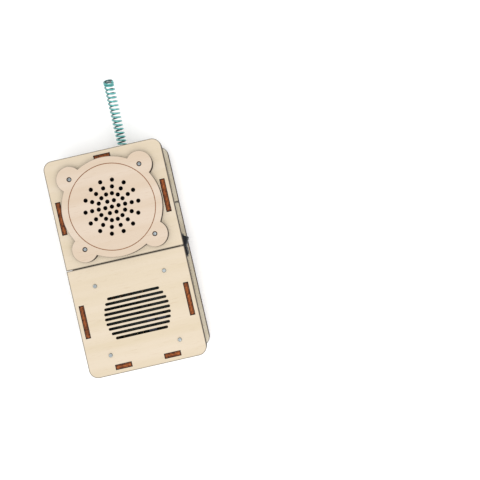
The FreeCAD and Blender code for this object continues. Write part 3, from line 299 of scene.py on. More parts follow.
# %% A planed veneer
def veneer_skin(tree, position, grain, pale, straw, vessel):
    """The colour of a face with its grain along an axis, and the fibres' height for the relief."""
    squeeze = [1.0, 1.0, 1.0]
    squeeze[grain] = 1 / GRAIN_STRETCH
    along = add(tree, "VectorMath", {0: position, 1: squeeze}, operation="MULTIPLY").outputs[0]
    figure = add(tree, "TexNoise", {"Vector": along, "Scale": 1 / FIGURE_WIDTH, "Detail": 3.0})
    fibre = add(tree, "TexNoise", {"Vector": along, "Scale": 1 / FIBRE_WIDTH, "Detail": 4.0})
    dashes = add(tree, "TexNoise", {"Vector": along, "Scale": 1 / VESSEL_WIDTH, "Detail": 1.0})
    bands = add(tree, "MapRange", {0: figure.outputs[0], 1: 0.36, 2: 0.66}).outputs[0]
    tint = add(tree, "Mix", {0: bands, 6: pale, 7: straw}, data_type="RGBA").outputs[2]
    fine = add(tree, "MapRange", {0: fibre.outputs[0], 1: 0.3, 2: 0.75, 3: 0.0, 4: 0.32}).outputs[0]
    tint = add(tree, "Mix", {0: fine, 6: tint, 7: straw}, data_type="RGBA").outputs[2]
    specks = add(tree, "MapRange", {0: dashes.outputs[0], 1: 0.66, 2: 0.78, 3: 0.0, 4: 0.5}).outputs[0]
    wood = add(tree, "Mix", {0: specks, 6: tint, 7: vessel}, data_type="RGBA").outputs[2]
    return wood, fibre.outputs[0]


print("a fibre is drawn", round(FIBRE_WIDTH * GRAIN_STRETCH, 1), "mm long")

# %% [markdown]
# ### The charred edge
# Streaks run through the sheet where the laser pulsed.  The middle veneer chars lighter, and the glue
# lines and the two arrises are burnt nearly black.  The corners of each tab are drawn nearly black too:
# painted shade of the gap round the tab in its slot.

# %% A laser cut
def charred_edge(tree, position, across, grain, share, from_middle, char_light, char_dark, corners):
    """The colour of a cut edge, and the streaks' height for the relief."""
    flatten = [1.0, 1.0, 1.0]
    flatten[across] = STREAK_SQUASH
    upright = add(tree, "VectorMath", {0: position, 1: flatten}, operation="MULTIPLY").outputs[0]
    streak = add(tree, "TexNoise", {"Vector": upright, "Scale": 1 / STREAK_WIDTH, "Detail": 3.0}).outputs[0]
    cloud = add(tree, "TexNoise", {"Vector": position, "Scale": 1 / CLOUD_WIDTH, "Detail": 2.0}).outputs[0]
    wave = add(tree, "Math", {0: share, 1: math.pi * VENEER_COUNT}, operation="MULTIPLY").outputs[0]
    core = add(tree, "Math", {0: wave}, operation="SINE").outputs[0]
    core = add(tree, "Math", {0: core}, operation="ABSOLUTE").outputs[0]
    burn = add(tree, "Math", {0: streak, 1: cloud}, operation="MULTIPLY").outputs[0]
    burn = add(tree, "MapRange", {0: burn, 1: 0.08, 2: 0.34}).outputs[0]
    burn = add(tree, "Math", {0: burn, 1: core}, operation="MULTIPLY").outputs[0]
    arris = add(tree, "MapRange", {0: from_middle, 1: 0.24, 2: 0.4, 3: 1.0, 4: 0.0}).outputs[0]
    burn = add(tree, "Math", {0: burn, 1: arris}, operation="MULTIPLY").outputs[0]
    shares = [0.0, 0.0, 0.1]    # a tenth of the height, so that a front tab's dark corners, painted shade, stay off the back
    shares[grain] = 1.0
    # Near each tab's corners the edge is darkened: painted shade of the gap round the tab in its slot.
    for run, end in corners:
        spot = [0.0, 0.0, end]
        spot[grain] = run
        offset = add(tree, "VectorMath", {0: position, 1: spot}, operation="SUBTRACT").outputs[0]
        offset = add(tree, "VectorMath", {0: offset}, operation="ABSOLUTE").outputs[0]
        gap = add(tree, "VectorMath", {0: offset, 1: shares}, operation="DOT_PRODUCT").outputs["Value"]
        clear = add(tree, "MapRange", {0: gap, 1: 0.25, 2: TAB_GAP_SHADE}).outputs[0]
        burn = add(tree, "Math", {0: burn, 1: clear}, operation="MULTIPLY").outputs[0]
    edge = add(tree, "Mix", {0: burn, 6: char_dark, 7: char_light}, data_type="RGBA").outputs[2]
    return edge, streak


print("streaks", STREAK_WIDTH, "mm wide on a cut")

# %% [markdown]
# ### The whole sheet
# Now the two are put together.  Sanded birch is matt with a faint silk, and a charred edge is dull, so
# the switch between face and edge sets the roughness and the relief as well as the colour.

# %% Face, floor and edge in one material
def plywood(name, across, grain, sheet_low, tones, rims, corners=()):
    """Birch plywood: across and grain are axis numbers, sheet_low is where the sheet starts, in mm,
    rims are functions that give how far a point is outside a cut edge, and corners are the places
    where a tab starts or ends: how far along the grain and how high, in mm."""
    material, tree, shader, position = begin(name)
    pale, straw, vessel, char_light, char_dark, scorch = [linear(tone) for tone in tones]
    direction = add(tree, "TexCoord").outputs["Normal"]
    facing = add(tree, "SeparateXYZ", {0: direction}).outputs[across]
    squarely = add(tree, "Math", {0: facing}, operation="ABSOLUTE").outputs[0]
    is_face = add(tree, "Math", {0: squarely, 1: FACE_LIMIT}, operation="GREATER_THAN").outputs[0]
    level = add(tree, "SeparateXYZ", {0: position}).outputs[across]
    share = add(tree, "MapRange", {0: level, 1: sheet_low, 2: sheet_low + SHEET_DEPTH},
                clamp=False).outputs[0]
    middle = add(tree, "Math", {0: share, 1: 0.5}, operation="SUBTRACT").outputs[0]
    from_middle = add(tree, "Math", {0: middle}, operation="ABSOLUTE").outputs[0]

    # A face that isn't one of the sheet's two skins is a scorched floor.
    wood, fibre = veneer_skin(tree, position, grain, pale, straw, vessel)
    skin_from = 0.5 - SKIN / SHEET_DEPTH
    sunk = add(tree, "Math", {0: from_middle, 1: skin_from}, operation="LESS_THAN").outputs[0]
    face = add(tree, "Mix", {0: sunk, 6: wood, 7: scorch}, data_type="RGBA").outputs[2]
    for rim in rims:
        smoke = add(tree, "MapRange", {0: rim(tree, position), 1: -SMOKE_WIDTH, 2: -SMOKE_EDGE,
                                       3: 0.0, 4: SMOKE_DEPTH}).outputs[0]
        face = add(tree, "Mix", {0: smoke, 6: face, 7: char_dark}, data_type="RGBA").outputs[2]
    edge, streak = charred_edge(tree, position, across, grain, share, from_middle,
                                char_light, char_dark, corners)
    colour = add(tree, "Mix", {0: is_face, 6: edge, 7: face}, data_type="RGBA").outputs[2]
    tree.links.new(colour, shader.inputs["Base Color"])

    rough = add(tree, "MapRange", {0: fibre, 3: 0.5, 4: 0.66}).outputs[0]
    rough = add(tree, "Mix", {0: is_face, 2: 0.85, 3: rough}, data_type="FLOAT").outputs[0]
    tree.links.new(rough, shader.inputs["Roughness"])
    shader.inputs["IOR"].default_value = 1.5
    shader.inputs["Specular IOR Level"].default_value = 0.3
    height = add(tree, "Mix", {0: is_face, 2: streak, 3: fibre}, data_type="FLOAT").outputs[0]
    relief = add(tree, "Bump", {"Height": height, "Strength": 0.35, "Distance": WOOD_RELIEF * MM})
    tree.links.new(relief.outputs[0], shader.inputs["Normal"])
    return material


print("a face points within", round(math.degrees(math.acos(FACE_LIMIT))), "degrees of straight out")

# %% [markdown]
# ### Nine sheets
# The front is the paler side of the board and the disc the pinkest veneer, while the walls and the
# back are painted greyer: painted shade, for sides that turn away from the light.  The cuts differ as
# well: the disc is cut cleanest, and the tabs' ends, which the beam crossed twice, are the most orange.

# %% Tones and outlines of the sheets
#                pale      straw     vessel    char light  char dark  scorch
FRONT_TONES = ("CFC1AD", "C9BAA1", "B39C7E", "402214", "110906", "7A4C30")
DISC_TONES = ("CCBCAB", "C6B39E", "B0967C", "3A2016", "0E0806", "94623F")
# The walls' and the back's skins are painted greyer than the front's: painted shade.
WALL_TONES_PAINTED_SHADE = ("C3BAA9", "BAAF9B", "9C907A", "B8652F", "1E0B07", "7A4C30")
BACK_TONES_PAINTED_SHADE = ("C9C2B2", "C1B8A4", "9C9079", "6E3A22", "1E0F0A", "7A4C30")
CORNER_RADIUS = 5.5     # mm, the case
SCREW_HEAD_RADIUS = 1.2
LOBE_RADIUS = 7.8
CLEAN_CUT = 0.22        # mm, the disc is cut cleaner, so this much of its smoke line is missing


def tab_corners(node, along):
    """Where a wall's tabs start and end, in mm: how far along it and how high."""
    points = [vertex.co / MM for vertex in frame["nodes"][node].data.vertices]
    ends = (min(point.z for point in points), max(point.z for point in points))
    return sorted({(round(point[along], 2), round(end, 2)) for point in points for end in ends
                   if abs(point.z - end) < 0.01})


def case_edge(tree, position):
    """The outline that the front and back sheets share."""
    low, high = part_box("battery_cover")[0] / MM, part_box("back_upper_panel")[1] / MM
    middle = ((low.x + high.x) / 2, (low.y + high.y) / 2)
    half = ((high.x - low.x) / 2, (high.y - low.y) / 2)
    return rounded_outline(tree, position, (middle, half, CORNER_RADIUS))


def seam_between(lower, upper):
    """The seam between two sheets, as a function of the material's tree and position."""
    seam = (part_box(lower)[1].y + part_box(upper)[0].y) / 2 / MM
    return lambda tree, position: seam_outline(tree, position, seam)


def disc_edge(tree, position):
    """The lobed disc's outline: the disc reaches as far as the screws' circle."""
    screws_low, screws_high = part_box("cover_screws")
    cover_low, cover_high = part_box("speaker_cover")
    reach = (screws_high.x - screws_low.x) / 2 / MM - SCREW_HEAD_RADIUS
    centre = (cover_low.y + cover_high.y) / 2 / MM
    disc_radius = reach * math.sqrt(2) + CLEAN_CUT
    return lobed_outline(tree, position, centre, disc_radius, reach, LOBE_RADIUS + CLEAN_CUT)


print("corners on the right wall's tabs:", len(tab_corners("right_wall", 1)))

# %% Cut the sheets
ACROSS_X, ACROSS_Y, ACROSS_Z = 0, 1, 2
front_seam = seam_between("front_lower_panel", "front_upper_panel")
back_seam = seam_between("battery_cover", "back_upper_panel")
sheets = [
    ("front_upper_panel", ACROSS_Z, ACROSS_X, FRONT_TONES, [case_edge, front_seam]),
    ("front_lower_panel", ACROSS_Z, ACROSS_X, FRONT_TONES, [case_edge, front_seam]),
    ("speaker_cover", ACROSS_Z, ACROSS_X, DISC_TONES, [disc_edge]),
    ("back_upper_panel", ACROSS_Z, ACROSS_X, BACK_TONES_PAINTED_SHADE, [case_edge, back_seam]),
    ("battery_cover", ACROSS_Z, ACROSS_X, BACK_TONES_PAINTED_SHADE, [case_edge, back_seam]),
    ("left_wall", ACROSS_X, ACROSS_Y, WALL_TONES_PAINTED_SHADE, []),
    ("right_wall", ACROSS_X, ACROSS_Y, WALL_TONES_PAINTED_SHADE, []),
    ("top_wall", ACROSS_Y, ACROSS_X, WALL_TONES_PAINTED_SHADE, []),
    ("bottom_wall", ACROSS_Y, ACROSS_X, WALL_TONES_PAINTED_SHADE, []),
]
for sheet_name, across_axis, grain_axis, sheet_tones, sheet_rims in sheets:
    tabs = tab_corners(sheet_name, grain_axis) if sheet_name.endswith("wall") else ()
    low_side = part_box(sheet_name)[0][across_axis] / MM
    birch = plywood("birch plywood " + sheet_name.replace("_", " "), across_axis, grain_axis,
                    low_side, sheet_tones, sheet_rims, tabs)
    dress(birch, sheet_name)

# %% [markdown]
# ## Moulded plastic
# The rocker is ABS, its housing and the spacers are nylon, the tray is polystyrene, and the chip and
# the transistors are epoxy.  All are pressed or poured in a steel mould, and take its fine spark
# texture.  What the eye gets is one deep colour, a soft broken gloss and, close to, a faint grain.  So
# one function makes them all, and each is told its colour, how shiny it is and how coarse its mould is.

# %% A moulded surface
FLOW_WIDTH = 10 / 3     # mm, the slow change of colour where the melt ran
GLOSS_SPREAD = 0.06     # how far the roughness strays each way


def moulded(name, colour, shade, roughness, ior, spark=0.25, relief=0.02):
    """Moulded plastic: spark is the size of the mould's texture in mm, and relief is its depth."""
    material, tree, shader, position = begin(name)
    flow = add(tree, "TexNoise", {"Vector": position, "Scale": 1 / FLOW_WIDTH, "Detail": 2.0})
    grain = add(tree, "TexNoise", {"Vector": position, "Scale": 1 / spark, "Detail": 2.0})
    tone = add(tree, "Mix", {0: flow.outputs[0], 6: linear(colour), 7: linear(shade)}, data_type="RGBA")
    tree.links.new(tone.outputs[2], shader.inputs["Base Color"])
    gloss = add(tree, "MapRange", {0: grain.outputs[0], 3: roughness - GLOSS_SPREAD,
                                   4: roughness + GLOSS_SPREAD})
    tree.links.new(gloss.outputs[0], shader.inputs["Roughness"])
    shader.inputs["IOR"].default_value = ior
    bump = add(tree, "Bump", {"Height": grain.outputs[0], "Strength": 0.4, "Distance": relief * MM})
    tree.links.new(bump.outputs[0], shader.inputs["Normal"])
    return material


# %% The case's controls and the cells' tray
# Moulded ABS, near black with a cold cast and a soft gloss: the rocker catches one thin highlight.
dress(moulded("black ABS", "02080F", "040D16", 0.55, 1.4), "switch_rocker", "talk_plunger")
# Glass-filled nylon is duller, so the housing looks flatter than the rocker in it.
dress(moulded("black nylon housing", "06080A", "0B0E10", 0.6, 1.46), "switch_housing", "talk_switch")
# Cell trays are plain black polystyrene, a little greyer, from a coarser mould.
dress(moulded("black polystyrene", "1A1B1C", "232425", 0.5, 1.59, 0.4), "battery_tray")
# Natural nylon, turned or moulded, is milky, and its gloss is soft.
dress(moulded("natural nylon", "B8B6AC", "C2C0B8", 0.45, 1.53), "board_spacers")

# %% What is poured, dipped, pressed or extruded
# Chips and transistors are cast in filled epoxy: dark grey and quite dull.
dress(moulded("black epoxy", "101112", "191A1B", 0.62, 1.55, 0.15), "radio_chip", "transistors")
# A shrunk sleeve over an aluminium can is glossy, because it was stretched tight.
# The sleeve's blue is painted near black: painted shade of the closed case.
dress(moulded("sleeved can, blue painted dark", "0F1B33", "16264A", 0.3, 1.54), "electrolytic_capacitors")
# A ceramic disc dipped in resin and a lacquered resistor are earthy and half glossy.
# The ceramic discs' tan is painted dark brown: painted shade under the grille.
dress(moulded("dipped ceramic, tan painted dark brown", "4E3218", "5C3C1E", 0.45, 1.55), "ceramic_capacitors")
dress(moulded("lacquered resistor, beige", "9C865E", "A8936B", 0.4, 1.55), "resistors")
# Phenolic laminate is pressed paper in brown resin, with the paper's grain still in it.
dress(moulded("phenolic laminate, brown", "6B4126", "7A4C2E", 0.5, 1.6, 0.3), "speaker_terminals")
# Foam tape shows its open cells, so it is the roughest and deepest of all.
dress(moulded("foam tape, grey", "8C8E90", "A0A2A4", 0.9, 1.5, 0.5, 0.15), "foam_tape")
# PVC drawn over wire is smooth and a little waxy.
dress(moulded("red PVC insulation", "9E1F1B", "AE2A22", 0.42, 1.54), "speaker_wires")
dress(moulded("black PVC insulation", "17181A", "202224", 0.42, 1.54), "switch_wires", "antenna_wire")
dress(moulded("yellow PVC insulation", "CFA421", "DBB233", 0.42, 1.54), "talk_wires")

# %% [markdown]
# ## Bare metal
# Screws and nuts are zinc-plated steel, springs and contacts nickel-plated, tags and lugs brass, and
# the voice coil copper.  A metal has no colour under its gloss: its colour is its reflection.  What
# tells one from another is the tint and how the surface scatters.  Plating that came out of a barrel
# is cloudy, so one noise moves both the tint and the roughness.

# %% A metal surface
BRIGHTER, DULLER = 0.07, 0.1    # how far the roughness strays down and up


def metal(name, colour, tarnish, roughness, cloud=0.8, relief=0.01):
    """Bare or plated metal: cloud is the size of the plating's mottle in mm."""
    material, tree, shader, position = begin(name)
    mottle = add(tree, "TexNoise", {"Vector": position, "Scale": 1 / cloud, "Detail": 4.0})
    tone = add(tree, "Mix", {0: mottle.outputs[0], 6: linear(colour), 7: linear(tarnish)}, data_type="RGBA")
    tree.links.new(tone.outputs[2], shader.inputs["Base Color"])
    gloss = add(tree, "MapRange", {0: mottle.outputs[0], 3: roughness - BRIGHTER, 4: roughness + DULLER})
    tree.links.new(gloss.outputs[0], shader.inputs["Roughness"])
    shader.inputs["Metallic"].default_value = 1.0
    bump = add(tree, "Bump", {"Height": mottle.outputs[0], "Strength": 0.3, "Distance": relief * MM})
    tree.links.new(bump.outputs[0], shader.inputs["Normal"])
    return material


# %% Which metal is where
# Barrel-plated zinc is a light blue-grey, which reads cold beside the wood.
dress(metal("zinc-plated steel", "B4BABB", "8C9499", 0.42), "cover_screws", "board_screws",
      "clamp_washers", "cover_nuts", "board_nuts")
# Nickel plate is warmer and brighter, and bent spring wire flashes along each turn.
dress(metal("nickel-plated spring steel", "CFCBC2", "ABA79E", 0.26), "battery_contacts",
      "battery_springs", "talk_dome")
# Drawn cans dipped in tin are the brightest thing on the board.
dress(metal("tinned steel", "C9CACB", "B0B2B4", 0.24), "crystal", "tuning_can", "talk_pins")
# Pressed galvanised sheet is cloudy and half matt.
dress(metal("galvanised pressed steel", "B4B7B9", "93979A", 0.38), "speaker_basket",
      "speaker_top_plate", "speaker_yoke")
# Punched brass is yellow and tarnishes towards brown.
dress(metal("brass", "C9A556", "A9853B", 0.3), "switch_terminals", "antenna_lug")
# A voice coil's turns are too fine to draw, so its gloss changes fast instead.
dress(metal("enamelled copper winding", "B4643A", "8E4522", 0.3, 0.2), "voice_coil")

# %% [markdown]
# ## Paper, cloth and ferrite in the loudspeaker
# Behind the sound holes sits a pressed paper cone, dyed black, in a ring of doped cloth, on a ferrite
# magnet.  All three are nearly black and matt, which is why the holes read as ink dots.  Paper is
# felted fibre, cloth is a weave, and ferrite is a fired ceramic with a fine dark grain.

# %% Black paper and ferrite
# Dyed paper pulp, felted on a screen: it swallows light, and its fibres show as a coarse relief.
dress(moulded("black cone paper", "0B0B0C", "121212", 0.92, 1.5, 0.5, 0.06), "speaker_cone",
      "speaker_dust_cap", "speaker_gasket")
# Fired ferrite is a hard dark ceramic, with a faint gleam from its high index.
dress(moulded("ferrite", "232426", "2E2F31", 0.55, 1.8, 0.2), "speaker_magnet", "tuning_core")

# %% Doped cloth
THREADS_PER_MM = 1.6    # a loudspeaker surround is woven about this fine
THREAD_RELIEF = 0.05    # mm


def woven_cloth(name, colour, shade):
    """A plain weave: two sets of threads, as waves across each other."""
    material, tree, shader, position = begin(name)
    turn = 2 * math.pi * THREADS_PER_MM
    around = add(tree, "VectorMath", {0: position, 1: (turn, turn, turn)}, operation="MULTIPLY").outputs[0]
    parts = add(tree, "SeparateXYZ", {0: around})
    warp = add(tree, "Math", {0: parts.outputs[0]}, operation="SINE").outputs[0]
    weft = add(tree, "Math", {0: parts.outputs[1]}, operation="SINE").outputs[0]
    weave = add(tree, "Math", {0: warp, 1: weft}, operation="MULTIPLY").outputs[0]
    share = add(tree, "MapRange", {0: weave, 1: -1.0, 2: 1.0}).outputs[0]
    tone = add(tree, "Mix", {0: share, 6: linear(colour), 7: linear(shade)}, data_type="RGBA")
    tree.links.new(tone.outputs[2], shader.inputs["Base Color"])
    shader.inputs["Roughness"].default_value = 0.8
    bump = add(tree, "Bump", {"Height": share, "Strength": 0.6, "Distance": THREAD_RELIEF * MM})
    tree.links.new(bump.outputs[0], shader.inputs["Normal"])
    return material


dress(woven_cloth("doped black cloth", "0C0C0D", "1A1A1B"), "speaker_surround")

# %% [markdown]
# ## The radio board
# The board is glass-fibre laminate under green solder resist.  The copper tracks under the resist show
# as paler lines, all running along or across.  Tracks could be modelled, but they are thinner than a
# hair, so they are drawn as a pattern: the board is divided into square cells, and in each a random
# choice says whether the track runs along or across.

# %% Green resist over copper tracks
TRACK_CELL = 2.54       # mm, the usual pitch of component legs
TRACK_SHARE = 0.14      # how far a track reaches each side of a cell's middle, as a share of the cell
ALONG_SHARE = 0.55      # how many of the cells have a track along the board
COPPER_FOIL = 0.035     # mm, the usual thickness


def green_laminate():
    """Solder resist over glass-fibre laminate, painted near black as painted shade, with the copper tracks
    showing through as paler lines.
    """
    material, tree, shader, position = begin("green solder resist")
    cells = add(tree, "VectorMath", {0: position, 1: (1 / TRACK_CELL,) * 3}, operation="MULTIPLY").outputs[0]
    flat = add(tree, "VectorMath", {0: cells, 1: (1.0, 1.0, 0.0)}, operation="MULTIPLY").outputs[0]
    corner = add(tree, "VectorMath", {0: flat}, operation="FLOOR").outputs[0]
    rest = add(tree, "VectorMath", {0: flat}, operation="FRACTION").outputs[0]
    inside = add(tree, "SeparateXYZ", {0: rest})
    choice = add(tree, "TexWhiteNoise", {"Vector": corner}).outputs[0]
    strips = []
    for number in (0, 1):
        off_centre = add(tree, "Math", {0: inside.outputs[number], 1: 0.5}, operation="SUBTRACT").outputs[0]
        distance = add(tree, "Math", {0: off_centre}, operation="ABSOLUTE").outputs[0]
        strips.append(add(tree, "Math", {0: distance, 1: TRACK_SHARE}, operation="LESS_THAN").outputs[0])
    runs_across = add(tree, "Math", {0: choice, 1: ALONG_SHARE}, operation="GREATER_THAN").outputs[0]
    track = add(tree, "Mix", {0: runs_across, 2: strips[0], 3: strips[1]}, data_type="FLOAT").outputs[0]
    # The resist's green and its tracks are painted near black: painted shade of the closed case.
    tone = add(tree, "Mix", {0: track, 6: linear("071A11"), 7: linear("0C2C1C")}, data_type="RGBA").outputs[2]
    tree.links.new(tone, shader.inputs["Base Color"])
    shader.inputs["Roughness"].default_value = 0.5
    shader.inputs["IOR"].default_value = 1.55
    bump = add(tree, "Bump", {"Height": track, "Strength": 0.5, "Distance": COPPER_FOIL * MM})
    tree.links.new(bump.outputs[0], shader.inputs["Normal"])
    return material


dress(green_laminate(), "circuit_board")

# %% [markdown]
# ## Cells in a printed jacket
# A small cell is a steel can shrunk into a printed film.  Both of its ends stay bare steel.  The film
# here is plain: a dark body with a copper-coloured band at the positive end, and no lettering.

# %% Jacket and bare ends
BAND_FROM = 11.0        # mm from the middle of a cell, towards its nub
CELL_ROWS = 3
CREASE_WIDTH = 1.25     # mm, ripples where the film shrank
CREASE_DEPTH = 0.03     # mm


def cell_jacket():
    """Each cell lies along X; the band is at the end with the nub, which turns with every cell."""
    material, tree, shader, position = begin("printed steel cell")
    parts = add(tree, "SeparateXYZ", {0: position})
    low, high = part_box("battery_cells")
    pitch = (high.y - low.y) / CELL_ROWS / MM
    row = add(tree, "Math", {0: parts.outputs[1], 1: low.y / MM}, operation="SUBTRACT").outputs[0]
    row = add(tree, "Math", {0: row, 1: pitch}, operation="DIVIDE").outputs[0]
    row = add(tree, "Math", {0: row}, operation="FLOOR").outputs[0]
    in_middle = add(tree, "Math", {0: row, 1: 1.0, 2: 0.1}, operation="COMPARE").outputs[0]
    way = add(tree, "MapRange", {0: in_middle, 3: 1.0, 4: -1.0}).outputs[0]
    toward_nub = add(tree, "Math", {0: parts.outputs[0], 1: way}, operation="MULTIPLY").outputs[0]
    band = add(tree, "Math", {0: toward_nub, 1: BAND_FROM}, operation="GREATER_THAN").outputs[0]
    printed = add(tree, "Mix", {0: band, 6: linear("1B1D22"), 7: linear("B8733C")},
                  data_type="RGBA").outputs[2]
    facing = add(tree, "SeparateXYZ", {0: add(tree, "TexCoord").outputs["Normal"]}).outputs[0]
    end = add(tree, "Math", {0: facing}, operation="ABSOLUTE").outputs[0]
    end = add(tree, "Math", {0: end, 1: FACE_LIMIT}, operation="GREATER_THAN").outputs[0]
    tone = add(tree, "Mix", {0: end, 6: printed, 7: linear("C8CACC")}, data_type="RGBA").outputs[2]
    tree.links.new(tone, shader.inputs["Base Color"])
    tree.links.new(end, shader.inputs["Metallic"])
    crease = add(tree, "TexNoise", {"Vector": position, "Scale": 1 / CREASE_WIDTH, "Detail": 3.0})
    gloss = add(tree, "MapRange", {0: crease.outputs[0], 3: 0.18, 4: 0.34})
    tree.links.new(gloss.outputs[0], shader.inputs["Roughness"])
    bump = add(tree, "Bump", {"Height": crease.outputs[0], "Strength": 0.2, "Distance": CREASE_DEPTH * MM})
    tree.links.new(bump.outputs[0], shader.inputs["Normal"])
    return material


dress(cell_jacket(), "battery_cells")

# %% [markdown]
# ## Teal enamel on the antenna wire
# The antenna is one length of wire under a coat of teal lacquer.  The lacquer is thin and clear enough
# that the metal under it still flashes, so the surface is half metal and half paint, with a hard clear
# coat on top.  The outside of each turn is painted paler, a painted highlight, and its inside darker,
# painted shade; a few scuffs let the copper through.  Which side of the wire is which is written on the
# mesh below, as a number at each point: the noise can't know it.

# %% Lacquered wire
# The side of the coil sets a painted highlight on the outside of each turn and painted shade on its inside.
PAINTED_LIGHT_SIDE = "painted_light_side"     # 0 on the inside of the coil, 1 on its outside
LACQUER_FLOW = 5 / 3        # mm, where the coat ran thicker or thinner
SCUFF_WIDTH = 0.625         # mm
SCUFF_DEPTH = 0.02          # mm


def teal_enamel():
    """Lacquer over copper, painted paler on the outside of each turn as a painted highlight, and darker on
    its inside as painted shade.
    """
    material, tree, shader, position = begin("teal enamelled copper wire")
    flow = add(tree, "TexNoise", {"Vector": position, "Scale": 1 / LACQUER_FLOW, "Detail": 3.0}).outputs[0]
    scuff = add(tree, "TexNoise", {"Vector": position, "Scale": 1 / SCUFF_WIDTH, "Detail": 5.0,
                                   "Roughness": 0.7}).outputs[0]
    bands = add(tree, "MapRange", {0: flow, 1: 0.35, 2: 0.65}).outputs[0]
    tone = add(tree, "Mix", {0: bands, 6: linear("1A7376"), 7: linear("2A8F8C")}, data_type="RGBA").outputs[2]
    # Painted highlight on the outside of each turn, painted shade on its inside.
    side = add(tree, "Attribute", attribute_name=PAINTED_LIGHT_SIDE).outputs["Fac"]
    painted_highlight = add(tree, "MapRange", {0: side, 1: 0.5, 2: 1.0, 3: 0.0, 4: 0.7}).outputs[0]
    inner = add(tree, "MapRange", {0: side, 1: 0.0, 2: 0.5, 3: 0.9, 4: 0.0}).outputs[0]
    tone = add(tree, "Mix", {0: painted_highlight, 6: tone, 7: linear("5FB9B4")}, data_type="RGBA").outputs[2]
    tone = add(tree, "Mix", {0: inner, 6: tone, 7: linear("143C3E")}, data_type="RGBA").outputs[2]
    worn = add(tree, "MapRange", {0: scuff, 1: 0.66, 2: 0.74, 3: 0.0, 4: 0.7}).outputs[0]
    tone = add(tree, "Mix", {0: worn, 6: tone, 7: linear("A9714E")}, data_type="RGBA").outputs[2]
    tree.links.new(tone, shader.inputs["Base Color"])
    shader.inputs["Metallic"].default_value = 0.45
    shader.inputs["Coat Weight"].default_value = 1.0
    shader.inputs["Coat Roughness"].default_value = 0.08
    gloss = add(tree, "MapRange", {0: scuff, 3: 0.22, 4: 0.42}).outputs[0]
    tree.links.new(gloss, shader.inputs["Roughness"])
    bump = add(tree, "Bump", {"Height": scuff, "Strength": 0.2, "Distance": SCUFF_DEPTH * MM})
    tree.links.new(bump.outputs[0], shader.inputs["Normal"])
    return material


enamel = teal_enamel()
print("made", enamel.name)

# %% [markdown]
# ## The antenna as one bent wire
# The real antenna is a single wire: a straight leg comes out of the top wall, swings out into a coil
# of open turns, and ends in two closed turns.  It springs back when it is pushed.  In the frame it is
# two pieces, a leg that stays with the case and a coil that leans on a hinge, which is right for how
# it moves but would show a joint.  Here it is one mesh: its centre line comes from a formula, and a
# ring of points is swept along it.
#
# A curve with a bevel would sweep the ring as well, but it twists where the curve turns in space.
# Here each ring is carried on from the last one, so the mesh stays even.

# %% The antenna's centre line
WIRE_RADIUS = 0.5 * MM
COIL_RADIUS = 3.15 * MM - WIRE_RADIUS
COIL_PITCH = 2.4 * MM
CLOSED_PITCH = 1.1 * MM
WOUND_LENGTH = 43.5 * MM
STRAIGHT_LENGTH = 2.6 * MM
CLOSED_LENGTH = 2.2 * MM
LINE_STEP = 0.55 * MM
TINY_STEP = 1e-5        # metres, short enough to measure how fast the wire turns
BASE_LEAN = math.radians(11)
TIP_LEAN = math.radians(42)
SIDE_LEAN = math.radians(12.6)

antenna_joint = next(joint for joint in frame["joints"] if joint["name"] == "antenna_bend")
pivot = Vector(antenna_joint["pos_m"])
leg_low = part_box("antenna_leg")[0]


def turns_at(distance):
    """How many turns the wire has made at a distance along the antenna."""
    closed_from = WOUND_LENGTH - CLOSED_LENGTH
    wound = max(0.0, distance - STRAIGHT_LENGTH)
    if wound < COIL_PITCH:
        return wound * wound / (2 * COIL_PITCH * COIL_PITCH)
    open_turns = 0.5 + (min(distance, closed_from) - STRAIGHT_LENGTH - COIL_PITCH) / COIL_PITCH
    return open_turns + max(0.0, distance - closed_from) / CLOSED_PITCH


def antenna_frame(distance):
    """The coil's own axis and the two directions across it; the lean grows with distance."""
    bend = TIP_LEAN - BASE_LEAN
    arch = WOUND_LENGTH / bend
    lean = BASE_LEAN + bend * distance / WOUND_LENGTH
    along = arch * (math.sin(lean) - math.sin(BASE_LEAN))
    rise = arch * (math.cos(BASE_LEAN) - math.cos(lean))
    forward = Vector((math.sin(SIDE_LEAN), 0, math.cos(SIDE_LEAN)))
    across = Vector((math.cos(SIDE_LEAN), 0, -math.sin(SIDE_LEAN)))
    normal = forward * math.cos(lean) - Vector((0, math.sin(lean), 0))
    axis = across * COIL_RADIUS + Vector((0, along, 0)) + forward * rise
    return pivot + axis, across, normal


def wire_point(distance):
    """A point of the wire's centre line."""
    middle, across, normal = antenna_frame(distance)
    angle = math.pi + 2 * math.pi * turns_at(distance)
    return middle + (across * math.cos(angle) + normal * math.sin(angle)) * COIL_RADIUS


def wire_line(step):
    """Points along the whole wire a step apart, and the coil's axis beside each of them."""
    points = [Vector((pivot.x, y, pivot.z)) for y in (leg_low.y, (leg_low.y + pivot.y) / 2, pivot.y)]
    middles = list(points)
    distance = 0.0
    while distance < WOUND_LENGTH:
        turn_rate = (turns_at(distance + TINY_STEP) - turns_at(distance)) / TINY_STEP
        length_rate = math.hypot(1.0, 2 * math.pi * COIL_RADIUS * turn_rate)
        distance = min(WOUND_LENGTH, distance + step / length_rate)
        points.append(wire_point(distance))
        middles.append(antenna_frame(distance)[0])
    return points, middles


antenna_line, antenna_middles = wire_line(LINE_STEP)
print("points along the wire:", len(antenna_line), "turns:", round(turns_at(WOUND_LENGTH), 1))


# %% Sweep a ring along the line
# A wire's end is nipped off and rounded: the last rings are drawn in, as (reach, width) in radii.
NIPPED_END = [(0.0, 1.0), (0.15, 0.92), (0.45, 0.62)]


